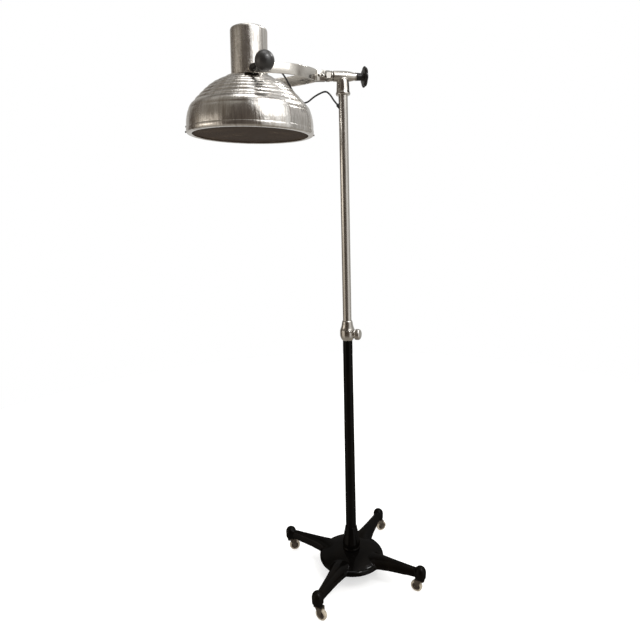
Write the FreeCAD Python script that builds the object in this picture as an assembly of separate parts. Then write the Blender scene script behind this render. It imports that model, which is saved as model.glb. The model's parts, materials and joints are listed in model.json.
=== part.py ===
"""Surgical light on a four-legged caster stand, millimetres, +Z up.

The origin is on the floor, on the axis of the column. The fork and the lamp
head stand towards -X, the star knob towards +X, and the head tilts about an
axis along Y. Every function builds one sub-part and returns its solid.
"""
import FreeCAD, Part
import math
import os

V = FreeCAD.Vector
X_AXIS = V(1, 0, 0)
Y_AXIS = V(0, 1, 0)
Z_AXIS = V(0, 0, 1)

# ---- driving dimensions ------------------------------------------------
RUN = 0.05                  # radial clearance of a running fit
LOOSE = 0.3                 # clearance between curved faces that never touch

# stand
LEG_COUNT = 4
LEG_YAW = 49.4              # direction of the first leg, degrees from +X
LEG_REACH = 233.0           # column axis to caster axis
DISC_R = 104.0
DISC_BOTTOM = 50.0
DISC_TOP = 82.0
BOSS_R = 17.5
BOSS_BOTTOM = 47.0
BOSS_SHOULDER = 71.0
COLUMN_R = 14.3
COLUMN_FOOT_R = 16.7        # column at the top of the bell, below its taper
SHOULDER_Z = 100.0          # where the column widens inside the bell
COLUMN_BORE_R = 13.0
COLUMN_BOTTOM = 38.0
COLUMN_TOP = 796.0
NECK_TOP = 162.0

# casters
WHEEL_R = 18.0
WHEEL_W = 14.0
AXLE_R = 2.5
CASTER_TRAIL = 11.5
CASTER_HEADING = (10.0, -5.0, -46.0, 138.0)   # where each wheel trails to
STEM_R = 5.0
STEM_TOP = 76.0
CROWN_Z = 39.5
CROWN_T = 3.0

# height collar
COLLAR_BOTTOM = 783.0
COLLAR_SEAM = 816.0
COLLAR_TOP = 843.0
BUSH_TOP = 837.0
COLLAR_R = 22.4
KNOB_HEADING = -35.0
KNOB_Z = 802.0
KNOB_R = 16.4
KNOB_IN = 25.0
KNOB_OUT = 42.0

# mast
MAST_R = 12.7
MAST_BORE_R = 11.0
MAST_BOTTOM = 455.0
MAST_TOP = 1500.0
FOOT_BOTTOM = 430.0
ARM_Z = 1516.0              # height of the fork's spindle
TEE_R = 13.5
TEE_SOCKET_R = 18.5
TEE_BOTTOM = 1468.0
TEE_LEFT = -27.5
TEE_RIGHT = 34.7
SPINDLE_R = 6.0

# fork
TONGUE_END = -78.0
TONGUE_T = 8.0
ARM_T = 4.0
ARM_WIDTH = 29.0
HEAD_X = -250.2             # axis of the lamp head, and of its pivots
ARM_OFFSET = 88.0           # fork centre line to the middle of an arm at its pivot
PIVOT_Z = 1510.0            # height of the head's pivots
BOLT_R = 4.0

# lamp head
RIM_Z = 1363.5
RIM_R = 167.4
GLASS_OPENING_R = 152.7
BAND_R = 166.3
SHELL_T = 1.5
HOUSING_R = 47.5
HOUSING_TOP = 1624.0
HEAD_LEAN = 2.0             # degrees that the top of the head leans to the mast
EAR_GAP = 0.3
EAR_T = 3.0
BRACKET_Z = 1507.5
BRACKET_R = 64.0
BALL_R = 23.5
LEVER_LEAN = 28.0           # degrees from the pivot axis towards the mast
LEVER_RISE = 3.0            # degrees above the horizontal
BALL_REACH = 58.0           # arm to the middle of the ball, along the lever

# cord
CORD_R = 2.3
GLAND_Z = 1533.0
GLAND_LEN = 13.0
BUSHING_Z = 1441.0          # where the bushing leaves the mast's face
BUSHING_TILT = 45.0         # degrees that the bushing looks upwards
BUSHING_LEN = 24.0          # along its axis, from the axis of the mast


# ---- helpers -----------------------------------------------------------
def outline(start, steps, plane="XZ"):
    """Face from a closed line. A step of one point is straight, of two an arc."""
    def place(point):
        a, b = point
        return V(a, 0, b) if plane == "XZ" else V(a, b, 0)

    edges = []
    here = start
    for step in list(steps) + [(start,)]:
        goal = step[-1]
        if math.dist(here, goal) < 1e-7:
            continue
        if len(step) == 1:
            edges.append(Part.LineSegment(place(here), place(goal)).toShape())
        else:
            arc = Part.Arc(place(here), place(step[0]), place(goal))
            edges.append(arc.toShape())
        here = goal
    return Part.Face(Part.Wire(edges))


def line(*points):
    """Straight steps through the points."""
    return [(point,) for point in points]


def arc(middle, end):
    """One round step."""
    return [(middle, end)]


def domed(radius, low, height):
    """One round step from (radius, low) up to the axis, part of a sphere."""
    ball = (radius ** 2 + height ** 2) / (2.0 * height)
    half = math.asin(min(1.0, radius / ball)) / 2.0
    return arc((ball * math.sin(half), low + height - ball + ball * math.cos(half)), (0, low + height))


def turned(start, steps):
    """Solid of revolution about Z from a radius and height outline."""
    return outline(start, steps).revolve(V(0, 0, 0), Z_AXIS, 360)


def rod(radius, base, axis, length):
    """Round bar from a base point along an axis."""
    return Part.makeCylinder(radius, length, V(*base), axis)


def moved(shape, x=0.0, y=0.0, z=0.0):
    """Copy of a shape, shifted."""
    result = shape.copy()
    result.translate(V(x, y, z))
    return result


def spun(shape, degrees, centre=(0, 0, 0), axis=Z_AXIS):
    """Copy of a shape, turned about an axis."""
    result = shape.copy()
    result.rotate(V(*centre), axis, degrees)
    return result


def laid(shape, x, y, z, axis):
    """A shape made along +Z at the origin, laid along another axis."""
    result = shape.copy()
    result.Placement = FreeCAD.Placement(V(x, y, z), FreeCAD.Rotation(Z_AXIS, axis))
    return result


def group(shapes):
    """Several separate solids of one sub-part."""
    return Part.makeCompound(shapes)


def heading(degrees):
    """Unit vector in the floor plane."""
    angle = math.radians(degrees)
    return V(math.cos(angle), math.sin(angle), 0)


def leg_angles():
    """Directions of the four legs."""
    return [LEG_YAW + 360.0 / LEG_COUNT * index for index in range(LEG_COUNT)]


# ---- stand -------------------------------------------------------------
def leg_section(reach, width, low, shoulder, top):
    """Closed cross-section of a leg: flat below, a round ridge above."""
    half = width / 2.0
    points = [V(reach, -half, low), V(reach, half, low), V(reach, half, shoulder)]
    edges = [Part.LineSegment(points[0], points[1]).toShape()]
    edges.append(Part.LineSegment(points[1], points[2]).toShape())
    last = V(reach, -half, shoulder)
    edges.append(Part.Arc(points[2], V(reach, 0, top), last).toShape())
    edges.append(Part.LineSegment(last, points[0]).toShape())
    return Part.Wire(edges)


def leg():
    """One leg along +X, from inside the disc to inside the boss."""
    sections = [
        leg_section(44, 62, 51, 60, 77.5),
        leg_section(90, 64, 50.5, 56, 80.5),
        leg_section(108, 52, 50.5, 57.5, 81.5),
        leg_section(132, 43, 51, 59, 81.5),
        leg_section(170, 33.5, 52, 60.5, 80.5),
        leg_section(LEG_REACH - 8, 23, 54, 62, 79),
    ]
    return Part.makeLoft(sections, True, False)


def boss():
    """Bulbous end of a leg, bored from below for the caster's sleeve."""
    top = BOSS_SHOULDER + BOSS_R
    side = math.sqrt(0.5) * BOSS_R
    low = BOSS_BOTTOM
    return turned((0, low), line((BOSS_R - 4, low)) + arc((BOSS_R - 1.2, low + 2.5), (BOSS_R, low + 9))
                  + line((BOSS_R, BOSS_SHOULDER)) + arc((side, BOSS_SHOULDER + side), (0, top)))


def base_casting():
    """Domed disc, four legs and bosses in one casting."""
    disc = turned((COLUMN_R, 54), line((26, 54), (26, 70)) + arc((64, 68), (93, 58))
                  + line((95, DISC_BOTTOM), (DISC_R, DISC_BOTTOM), (DISC_R, 56))
                  + arc((102, 61.5), (96.5, 65.5)) + arc((63, 76.8), (26, DISC_TOP))
                  + line((COLUMN_R, DISC_TOP)))
    hollow = turned((COLUMN_R, 30), line((26, 30), (26, 70)) + arc((64, 68), (93, 58))
                    + line((95, DISC_BOTTOM), (95, 30)))
    foot = turned((0, 30), line((26, 30), (26, 90), (0, 90)))
    solid = disc
    for angle in leg_angles():
        solid = solid.fuse(spun(leg().cut(hollow).cut(foot), angle))
        solid = solid.fuse(spun(moved(boss(), x=LEG_REACH), angle))
    for angle in leg_angles():
        spot = heading(angle) * LEG_REACH
        bore = rod(STEM_R + 1.5, (spot.x, spot.y, BOSS_BOTTOM - 1), Z_AXIS, STEM_TOP + 2 - BOSS_BOTTOM)
        solid = solid.cut(bore)
    return solid.removeSplitter()


def hub_neck():
    """Cast bell that sits on the disc and steadies the column."""
    low = DISC_TOP
    return turned((COLUMN_R, low), line((26.5, low)) + arc((28.2, low + 3.5), (27.4, low + 7))
                  + line((26.0, low + 8), (26.0, low + 10), (27.2, low + 11.5))
                  + arc((27.8, low + 16), (27.2, low + 21)) + arc((24.2, 129), (20.4, 150))
                  + arc((19.5, 157), (17.9, NECK_TOP))
                  + line((COLUMN_FOOT_R, NECK_TOP), (COLUMN_FOOT_R, SHOULDER_Z + 3), (COLUMN_R, SHOULDER_Z)))


def column_tube():
    """Black outer column: a tube that is widest where it stands in the bell."""
    outer = turned((0, COLUMN_BOTTOM), line((COLUMN_R, COLUMN_BOTTOM), (COLUMN_R, SHOULDER_Z),
                                            (COLUMN_FOOT_R, SHOULDER_Z + 3), (COLUMN_FOOT_R, NECK_TOP),
                                            (COLUMN_R, COLLAR_BOTTOM), (COLUMN_R, COLUMN_TOP), (0, COLUMN_TOP)))
    inner = rod(COLUMN_BORE_R, (0, 0, COLUMN_BOTTOM - 1), Z_AXIS, COLUMN_TOP - COLUMN_BOTTOM + 2)
    return outer.cut(inner)


def hexagon(across, z_low, height, bore_r):
    """Hexagon nut blank about Z with a bore."""
    corner = across / math.sqrt(3.0)
    points = [heading(60 * index) * corner for index in range(7)]
    face = Part.Face(Part.makePolygon(points))
    nut = moved(face.extrude(V(0, 0, height)), z=z_low)
    crown = 0.12 * across
    dome = turned((0, z_low), line((corner - crown, z_low), (corner, z_low + crown),
                                   (corner, z_low + height - crown),
                                   (corner - crown, z_low + height), (0, z_low + height)))
    hole = rod(bore_r, (0, 0, z_low - 1), Z_AXIS, height + 2)
    return nut.common(dome).cut(hole)


def column_nut():
    """Nut under the disc that pulls the column down."""
    return hexagon(44, 40, 11, COLUMN_R)


def column_washer():
    """Washer between that nut and the casting."""
    return turned((COLUMN_R, 51), line((25, 51), (25, 54), (COLUMN_R, 54)))


def caster_sleeves():
    """Grip sleeves pressed into the four bosses."""
    sleeve = turned((STEM_R + RUN, BOSS_BOTTOM - 1.5),
                    line((STEM_R + 4, BOSS_BOTTOM - 1.5), (STEM_R + 4, BOSS_BOTTOM),
                         (STEM_R + 1.5, BOSS_BOTTOM), (STEM_R + 1.5, STEM_TOP), (STEM_R + RUN, STEM_TOP)))
    return group([spun(moved(sleeve, x=LEG_REACH), angle) for angle in leg_angles()])


# ---- casters -----------------------------------------------------------
def caster_place(shape, index):
    """A caster part made at the origin, trailing to +X, set under its boss."""
    spot = heading(leg_angles()[index]) * LEG_REACH
    return moved(spun(shape, CASTER_HEADING[index]), x=spot.x, y=spot.y)


def caster_fork():
    """Stem, crown and two cheeks of a caster."""
    cheek_in = WHEEL_W / 2.0 + 0.8
    cheek_out = cheek_in + 1.8
    top = CROWN_Z + CROWN_T
    crown = outline((-9, -cheek_out), line((17, -cheek_out), (17, cheek_out), (-9, cheek_out))
                    + arc((-13, 0), (-9, -cheek_out)), "XY").extrude(V(0, 0, CROWN_T))
    crown = moved(crown, z=CROWN_Z)
    side = outline((-5, top - 0.5), line((17, top - 0.5), (CASTER_TRAIL + 5.5, WHEEL_R))
                   + arc((CASTER_TRAIL, WHEEL_R - 5.5), (CASTER_TRAIL - 5.5, WHEEL_R)))
    cheek = side.extrude(V(0, cheek_out - cheek_in, 0))
    solid = crown
    for y in (cheek_in, -cheek_out):
        solid = solid.fuse(moved(cheek, y=y))
    solid = solid.fuse(rod(STEM_R + 4, (0, 0, top - 0.5), Z_AXIS, BOSS_BOTTOM - 2 - top + 0.5))
    stem = turned((0, top - 0.5), line((STEM_R, top - 0.5), (STEM_R, STEM_TOP - 4))
                  + domed(STEM_R, STEM_TOP - 4, 3))
    solid = solid.fuse(stem)
    hole = rod(AXLE_R, (CASTER_TRAIL, -20, WHEEL_R), Y_AXIS, 40)
    return solid.cut(hole).removeSplitter()


def caster_axle():
    """Riveted axle pin of a caster wheel."""
    reach = WHEEL_W / 2.0 + 2.6
    pin = rod(AXLE_R, (CASTER_TRAIL, -reach, WHEEL_R), Y_AXIS, 2 * reach)
    for side in (-1, 1):
        head = turned((0, 0), line((AXLE_R + 1.6, 0)) + domed(AXLE_R + 1.6, 0, 1.7))
        pin = pin.fuse(laid(head, CASTER_TRAIL, side * reach, WHEEL_R, Y_AXIS * side))
    return pin


def caster_wheel():
    """Round-shouldered wheel with a short hub on each side."""
    half = WHEEL_W / 2.0
    web = half - 2.6
    wheel = turned((AXLE_R + RUN, -half - 0.4), line((5.5, -half - 0.4), (5.5, -web), (12.2, -web))
                   + line((13.2, -half + 0.4))
                   + arc((WHEEL_R - 1.1, -half + 1.9), (WHEEL_R, -1.5)) + line((WHEEL_R, 1.5))
                   + arc((WHEEL_R - 1.1, half - 1.9), (13.2, half - 0.4))
                   + line((12.2, web), (5.5, web), (5.5, half + 0.4), (AXLE_R + RUN, half + 0.4)))
    return laid(wheel, CASTER_TRAIL, 0, WHEEL_R, Y_AXIS)


# ---- height collar -----------------------------------------------------
def collar_body():
    """Lower half of the clamp collar, with the boss for the clamp knob."""
    shell = turned((COLUMN_R, COLLAR_BOTTOM), line((15.6, COLLAR_BOTTOM))
                   + arc((20.4, COLLAR_BOTTOM + 9), (COLLAR_R, COLLAR_BOTTOM + 22))
                   + arc((COLLAR_R - 0.1, COLLAR_BOTTOM + 28), (21.6, COLLAR_SEAM))
                   + line((15.0, COLLAR_SEAM), (15.0, COLUMN_TOP), (COLUMN_R, COLUMN_TOP)))
    out = heading(KNOB_HEADING)
    lug = rod(12.0, (out.x * 15, out.y * 15, KNOB_Z), out, KNOB_IN - 0.6 - 15)
    core = rod(15.0, (0, 0, COLLAR_BOTTOM), Z_AXIS, COLLAR_SEAM - COLLAR_BOTTOM)
    bore = rod(4.0 + RUN, (0, 0, KNOB_Z), out, KNOB_IN)
    return shell.fuse(lug.cut(core)).cut(bore).cut(collar_screw()).removeSplitter()


def collar_cap():
    """Upper half of the collar, a cone that closes on the mast."""
    return turned((15.0, COLLAR_SEAM), line((21.2, COLLAR_SEAM)) + arc((18.9, 826), (16.2, 835))
                  + arc((15.1, 840), (13.8, COLLAR_TOP))
                  + line((MAST_R + LOOSE, COLLAR_TOP), (MAST_R + LOOSE, BUSH_TOP), (15.0, BUSH_TOP)))


def guide_bush():
    """Bush inside the collar that the mast slides and turns in."""
    low = BUSH_TOP - 24.0
    return turned((MAST_R + RUN, low), line((15.0, low), (15.0, BUSH_TOP), (MAST_R + RUN, BUSH_TOP)))


def clamp_pad():
    """Brass pad that the clamp knob presses against the mast."""
    out = heading(KNOB_HEADING)
    start = MAST_R + 0.4
    pad = rod(4.0, (out.x * start, out.y * start, KNOB_Z), out, 2.6)
    return pad.cut(rod(MAST_R + 0.3, (0, 0, KNOB_Z - 10), Z_AXIS, 20))


def collar_screw():
    """Small screw that keeps the two halves of the collar from turning."""
    out = heading(KNOB_HEADING - 42)
    return rod(2.2, (out.x * 19.0, out.y * 19.0, COLLAR_SEAM - 5.0), out, 4.4)


def collar_knob():
    """Clamp knob: a round cap on a threaded stem."""
    length = KNOB_OUT - KNOB_IN
    cap = turned((0, 0), line((KNOB_R - 2.5, 0)) + arc((KNOB_R - 0.7, 0.8), (KNOB_R, 3))
                 + line((KNOB_R, length - 7)) + arc((KNOB_R - 2.2, length - 2.0), (KNOB_R - 8, length))
                 + line((0, length)))
    stem = rod(4.0, (0, 0, -8.6), Z_AXIS, 9)
    out = heading(KNOB_HEADING)
    return laid(cap.fuse(stem), out.x * KNOB_IN, out.y * KNOB_IN, KNOB_Z, out)


# ---- mast --------------------------------------------------------------
def mast_foot():
    """Guide plug that slides in the column and carries the mast."""
    rim = COLUMN_BORE_R - RUN
    return turned((0, FOOT_BOTTOM), line((rim - 1, FOOT_BOTTOM), (rim, FOOT_BOTTOM + 1), (rim, MAST_BOTTOM),
                                         (MAST_BORE_R - RUN, MAST_BOTTOM),
                                         (MAST_BORE_R - RUN, MAST_BOTTOM + 30), (0, MAST_BOTTOM + 30)))


def mast_tube():
    """Bright inner mast, with the hole that the cord enters by."""
    tube = turned((MAST_BORE_R, MAST_BOTTOM), line((MAST_R, MAST_BOTTOM), (MAST_R, MAST_TOP),
                                                   (MAST_BORE_R, MAST_TOP)))
    return tube.cut(rod(4.0, bushing_root(), bushing_axis(), 40))


def bushing_axis():
    """Direction in which the cord leaves the mast."""
    angle = math.radians(BUSHING_TILT)
    return V(-math.cos(angle), 0, math.sin(angle))


def bushing_root():
    """Point on the axis of the mast that the bushing's axis passes."""
    return V(0, 0, BUSHING_Z - MAST_R * math.tan(math.radians(BUSHING_TILT)))


def mast_bushing():
    """Rubber bushing in the side of the mast."""
    root = bushing_root()
    axis = bushing_axis()
    plug = rod(4.0, root, axis, BUSHING_LEN)
    flange = rod(5.2, root, axis, BUSHING_LEN - 2.0)
    tall = 200
    core = rod(MAST_BORE_R + 0.2, (0, 0, BUSHING_Z - tall / 2), Z_AXIS, tall)
    filled = rod(MAST_R, (0, 0, BUSHING_Z - tall / 2), Z_AXIS, tall)
    return plug.cut(core).fuse(flange.cut(filled)).removeSplitter()


def mast_tee():
    """Cast tee: a socket on the mast and a barrel for the fork's spindle."""
    socket = turned((0, TEE_BOTTOM), line((18.6, TEE_BOTTOM))
                    + arc((20.2, TEE_BOTTOM + 4.2), (18.6, TEE_BOTTOM + 8.4))
                    + line((TEE_SOCKET_R - 0.6, TEE_BOTTOM + 9.4), (TEE_SOCKET_R - 1.6, 1499))
                    + arc((15.3, 1508), (11, 1514)) + line((0, 1514)))
    length = TEE_RIGHT - TEE_LEFT
    barrel = turned((0, 0), line((TEE_R - 0.8, 0), (TEE_R, 0.8)) + arc((TEE_R + 0.5, 20), (TEE_R, 38))
                    + arc((12.4, 49), (9.9, length - 4)) + line((9.9, length), (0, length)))
    barrel = laid(barrel, TEE_LEFT, 0, ARM_Z, X_AXIS)
    solid = socket.fuse(barrel)
    solid = solid.cut(rod(SPINDLE_R + RUN, (TEE_LEFT - 1, 0, ARM_Z), X_AXIS, length + 2))
    solid = solid.cut(rod(MAST_R, (0, 0, TEE_BOTTOM - 1), Z_AXIS, MAST_TOP - TEE_BOTTOM + 1))
    return solid.removeSplitter()


# ---- fork --------------------------------------------------------------
def yoke_spindle():
    """Spindle through the tee, with a flat tongue for the arms."""
    bar = rod(SPINDLE_R, (-49, 0, ARM_Z), X_AXIS, 49 + 60)
    half = ARM_WIDTH / 2.0 - 1
    corner = V(TONGUE_END, -TONGUE_T / 2.0, ARM_Z - half)
    tongue = Part.makeBox(-49 - TONGUE_END, TONGUE_T, 2 * half, corner)
    holes = rivet_spots()
    solid = bar.fuse(tongue)
    for x in holes:
        solid = solid.cut(rod(3.0, (x, -20, ARM_Z), Y_AXIS, 40))
    return solid.removeSplitter()


def rivet_spots():
    """Places of the two rivets along the tongue."""
    return (-56.0, -65.5)


def ring(x_low, x_high, outer_r, inner_r, rounding=0.4):
    """Washer about the spindle."""
    width = x_high - x_low
    shape = turned((inner_r, 0), line((outer_r - rounding, 0), (outer_r, rounding))
                   + line((outer_r, width - rounding), (outer_r - rounding, width), (inner_r, width)))
    return laid(shape, x_low, 0, ARM_Z, X_AXIS)


def fibre_washer():
    """Dark friction washer at the left end of the tee."""
    return ring(-29.2, TEE_LEFT - 0.1, 11.4, SPINDLE_R)


def thrust_ring():
    """Bright ring between the friction washer and the nut."""
    return ring(-34.2, -29.2, 13.4, SPINDLE_R, 1.6)


def yoke_nut():
    """Hexagon nut that locks the fork on its spindle."""
    nut = hexagon(25.0, 0, 14.8, SPINDLE_R)
    return laid(nut, -49.0, 0, ARM_Z, X_AXIS)


def end_washer():
    """Washer between the tee and the star knob."""
    return ring(TEE_RIGHT + 0.1, TEE_RIGHT + 1.8, 10.6, SPINDLE_R)


def arm_edge(shift):
    """Plan line of a fork arm, shifted sideways from its middle line."""
    base = TONGUE_T / 2.0 + ARM_T / 2.0
    spine = [V(-71, base, 0), V(-83, base + 11, 0), V(-103, 37, 0), V(-132, 60, 0),
             V(-165, 77, 0), V(-200, ARM_OFFSET - 2, 0), V(-228, ARM_OFFSET, 0)]
    curve = Part.BSplineCurve()
    curve.interpolate(spine, InitialTangent=V(-1, 0, 0) * 12, FinalTangent=V(-1, 0, 0) * 28)
    first, last = curve.FirstParameter, curve.LastParameter
    count = 13
    points = []
    for index in range(count):
        at = first + (last - first) * index / (count - 1)
        tangent = curve.tangent(at)[0]
        side = V(-tangent.y, tangent.x, 0).normalize() * -shift
        points.append(curve.value(at) + side)
    shifted = Part.BSplineCurve()
    shifted.interpolate(points, InitialTangent=V(-1, 0, 0) * 12, FinalTangent=V(-1, 0, 0) * 28)
    return shifted


def yoke_arm(side):
    """One bent strap of the fork; side is -1 for the near arm and 1 for the far."""
    inner = arm_edge(-ARM_T / 2.0)
    outer = arm_edge(ARM_T / 2.0)
    base_in = TONGUE_T / 2.0
    root = -50.0
    tip = HEAD_X - 12.5
    corners_in = [V(root, base_in, 0), inner.StartPoint]
    corners_out = [V(root, base_in + ARM_T, 0), outer.StartPoint]
    end_in = V(tip, inner.EndPoint.y, 0)
    end_out = V(tip, outer.EndPoint.y, 0)
    edges = [Part.LineSegment(corners_in[0], corners_in[1]).toShape(), inner.toShape()]
    edges.append(Part.LineSegment(inner.EndPoint, end_in).toShape())
    edges.append(Part.LineSegment(end_in, end_out).toShape())
    edges.append(Part.LineSegment(end_out, outer.EndPoint).toShape())
    edges.append(outer.toShape())
    edges.append(Part.LineSegment(corners_out[1], corners_out[0]).toShape())
    edges.append(Part.LineSegment(corners_out[0], corners_in[0]).toShape())
    plan = Part.Face(Part.Wire(edges))
    strap = moved(plan.extrude(V(0, 0, 40)), z=ARM_Z - 20)
    wide = ARM_WIDTH / 2.0
    slim = wide - 3.0
    front = outline((root, ARM_Z - wide + 1), line((-90, ARM_Z - wide), (HEAD_X, PIVOT_Z - slim))
                    + arc((HEAD_X - slim, PIVOT_Z), (HEAD_X, PIVOT_Z + slim))
                    + line((-90, ARM_Z + wide), (root, ARM_Z + wide - 1)))
    solid = strap.common(moved(front.extrude(V(0, 200, 0)), y=-20))
    solid = solid.cut(rod(BOLT_R + 0.1, (HEAD_X, 0, PIVOT_Z), Y_AXIS, 200))
    for x in rivet_spots():
        solid = solid.cut(rod(3.0, (x, 0, ARM_Z), Y_AXIS, 40))
    if side < 0:
        solid = solid.mirror(V(0, 0, 0), Y_AXIS)
    return solid


def yoke_rivets():
    """Two rivets through both arms and the tongue."""
    reach = TONGUE_T / 2.0 + ARM_T
    rivets = []
    for x in rivet_spots():
        pin = rod(3.0, (x, -reach, ARM_Z), Y_AXIS, 2 * reach)
        for side in (-1, 1):
            head = turned((0, 0), line((5.0, 0)) + domed(5.0, 0, 2.6))
            pin = pin.fuse(laid(head, x, side * reach, ARM_Z, Y_AXIS * side))
        rivets.append(pin.removeSplitter())
    return group(rivets)


def arm_washers():
    """Washers on the outside of both arms, at the pivots."""
    shape = turned((BOLT_R + LOOSE, 0), line((10.5, 0), (10.5, 1.2), (10.0, 1.7), (BOLT_R + LOOSE, 1.7)))
    outer = ARM_OFFSET + ARM_T / 2.0
    return group([laid(shape, HEAD_X, side * outer, PIVOT_Z, Y_AXIS * side) for side in (-1, 1)])


# ---- star knob ---------------------------------------------------------
def star_knob():
    """Fluted black knob with a long hub, on the right end of the spindle."""
    hub_in = TEE_RIGHT + 2.0
    disc_in = 56.0
    disc_out = 66.0
    knob_r = 27.4
    half = (disc_out - disc_in) / 2.0
    disc = turned((0, 0), line((24.5, 0)) + arc((knob_r - 1.4, 1.6), (knob_r, half))
                  + arc((knob_r - 1.4, 2 * half - 1.6), (24.5, 2 * half)) + line((14, 2 * half))
                  + domed(14, 2 * half, 2.2))
    lobes = 7
    for index in range(lobes):
        way = heading(360.0 / lobes * index)
        flute = rod(7.5, (way.x * (knob_r + 4.6), way.y * (knob_r + 4.6), -1), Z_AXIS, 2 * half + 4)
        disc = disc.cut(flute)
    disc = laid(disc, disc_in, 0, ARM_Z, X_AXIS)
    hub = turned((0, 0), line((9.2, 0)) + line((10.0, 0.8), (9.4, disc_in - hub_in - 4))
                 + arc((10.6, disc_in - hub_in - 1.2), (13.5, disc_in - hub_in + 0.5))
                 + line((0, disc_in - hub_in + 0.5)))
    hub = laid(hub, hub_in, 0, ARM_Z, X_AXIS)
    bore = rod(SPINDLE_R + RUN, (hub_in - 1, 0, ARM_Z), X_AXIS, 61 - hub_in)
    return disc.fuse(hub).cut(bore).removeSplitter()


# ---- lamp head ---------------------------------------------------------
def leaned(shape):
    """Copy of a part of the head, leaning about the pivots."""
    return spun(shape, HEAD_LEAN, (HEAD_X, 0, PIVOT_Z), Y_AXIS)


def head_turned(start, steps):
    """Solid of revolution about the lamp head's own axis."""
    return moved(turned(start, steps), x=HEAD_X)


def socket_housing():
    """Tall cylinder on the dome, with rounded top edge."""
    top = HOUSING_TOP
    outer = HOUSING_R
    inner = HOUSING_R - SHELL_T
    bend = 9.0
    cut = bend * (1 - math.sqrt(0.5))
    rise = BRACKET_Z - 4.0
    shell = head_turned((inner, rise), line((outer, rise), (outer, top - bend))
                       + arc((outer - cut, top - cut), (outer - bend, top))
                       + line((0, top), (0, top - SHELL_T), (outer - bend, top - SHELL_T))
                       + arc((inner - cut + 0.4, top - cut - 1.1), (inner, top - bend)))
    shell = shell.cut(rod(4.2, (HEAD_X, 0, GLAND_Z), X_AXIS, HOUSING_R + 5))
    return shell.cut(top_screws())


def dome_nodes():
    """Radius and height of the valleys between the dome's ribs, from the top."""
    return [(76, 1496.5), (89, 1490), (101, 1482.5), (112, 1473.5), (122.5, 1463.5), (133, 1453),
            (144, 1441.5)]


def dome_shell():
    """Spun reflector dome: stepped ribs above a smooth band."""
    bulge = 2.3
    nodes = dome_nodes()
    here = nodes[0]
    steps = line((61, BRACKET_Z - 4.0)) + arc((68.9, 1501.0), here)
    for node in nodes[1:]:
        slope = math.atan2(node[1] - here[1], node[0] - here[0])
        middle = ((here[0] + node[0]) / 2.0 - math.sin(slope) * bulge,
                  (here[1] + node[1]) / 2.0 + math.cos(slope) * bulge)
        steps += arc(middle, node)
        here = node
    edge = RIM_Z + 4.0
    steps += arc((153.5, 1430.5), (160.5, 1417.5)) + arc((164.3, 1406), (BAND_R, 1392))
    steps += line((BAND_R, edge), (BAND_R - SHELL_T, edge), (BAND_R - SHELL_T, 1392))
    steps += arc((162.8, 1405.5), (159, 1417)) + arc((152, 1429.4), (142.5, 1440.4))
    steps += arc((115.5, 1466.5), (75, 1494.4)) + line((60.5, 1501.8), (HOUSING_R, 1502.5))
    shell = head_turned((HOUSING_R, BRACKET_Z - 4.0), steps)
    return shell.cut(bracket_screws()).cut(rim_screws())


def tilt_bracket():
    """Saddle plate round the housing with two ears for the pivots."""
    ear_out = ARM_OFFSET - ARM_T / 2.0 - EAR_GAP
    ear_in = ear_out - EAR_T
    low = BRACKET_Z - 4.0
    plate = head_turned((HOUSING_R, low), line((BRACKET_R, low), (BRACKET_R, BRACKET_Z - 2.5))
                        + line((BRACKET_R - 1.5, BRACKET_Z - 1.5), (HOUSING_R, BRACKET_Z - 1.5)))
    plate = plate.common(Part.makeBox(200, 2 * ear_out, 40, V(HEAD_X - 100, -ear_out, BRACKET_Z - 20)))
    foot_profile = outline((BRACKET_R - 8, low),
                           line((BRACKET_R, low), (79, BRACKET_Z - 6.2), (ear_out, BRACKET_Z - 8.0))
                           + line((ear_out, BRACKET_Z - 5.0), (BRACKET_R + 4, BRACKET_Z - 2.3))
                           + line((BRACKET_R - 8, BRACKET_Z - 1.5)))
    solid = plate
    for side in (-1, 1):
        turned_foot = spun(foot_profile, 90 * side)
        run = turned_foot.extrude(V(40, 0, 0))
        run = moved(run, x=HEAD_X - 20)
        front = outline((HEAD_X - 20, BRACKET_Z - 8),
                        line((HEAD_X + 20, BRACKET_Z - 8), (HEAD_X + 12, PIVOT_Z + 2))
                        + arc((HEAD_X, PIVOT_Z + 12), (HEAD_X - 12, PIVOT_Z + 2)))
        ear = front.extrude(V(0, EAR_T, 0))
        ear = moved(ear, y=ear_in if side > 0 else -ear_out)
        solid = solid.fuse(run.fuse(ear))
    solid = solid.cut(rod(BOLT_R, (HEAD_X, -200, PIVOT_Z), Y_AXIS, 400))
    solid = solid.cut(head_turned((0, 1400), line((HOUSING_R, 1400), (HOUSING_R, 1600), (0, 1600))))
    return solid.cut(bracket_screws()).removeSplitter()


def bracket_screws():
    """Round-headed screws that hold the saddle plate."""
    screws = []
    for x in (-12, 12):
        for side in (-1, 1):
            head = turned((0, -3.5), line((2.2, -3.5), (2.2, 0), (4.2, 0)) + domed(4.2, 0, 3.0))
            screws.append(moved(head, x=HEAD_X + x, y=side * 57.0, z=BRACKET_Z - 1.6))
    return group(screws)


def top_screws():
    """Two small screws on top of the housing."""
    screws = []
    for x, y in ((22, -14), (29, -4)):
        head = turned((0, -3.0), line((1.6, -3.0), (1.6, 0), (3.0, 0)) + domed(3.0, 0, 2.0))
        screws.append(moved(head, x=HEAD_X + x, y=y, z=HOUSING_TOP))
    return group(screws)


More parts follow.
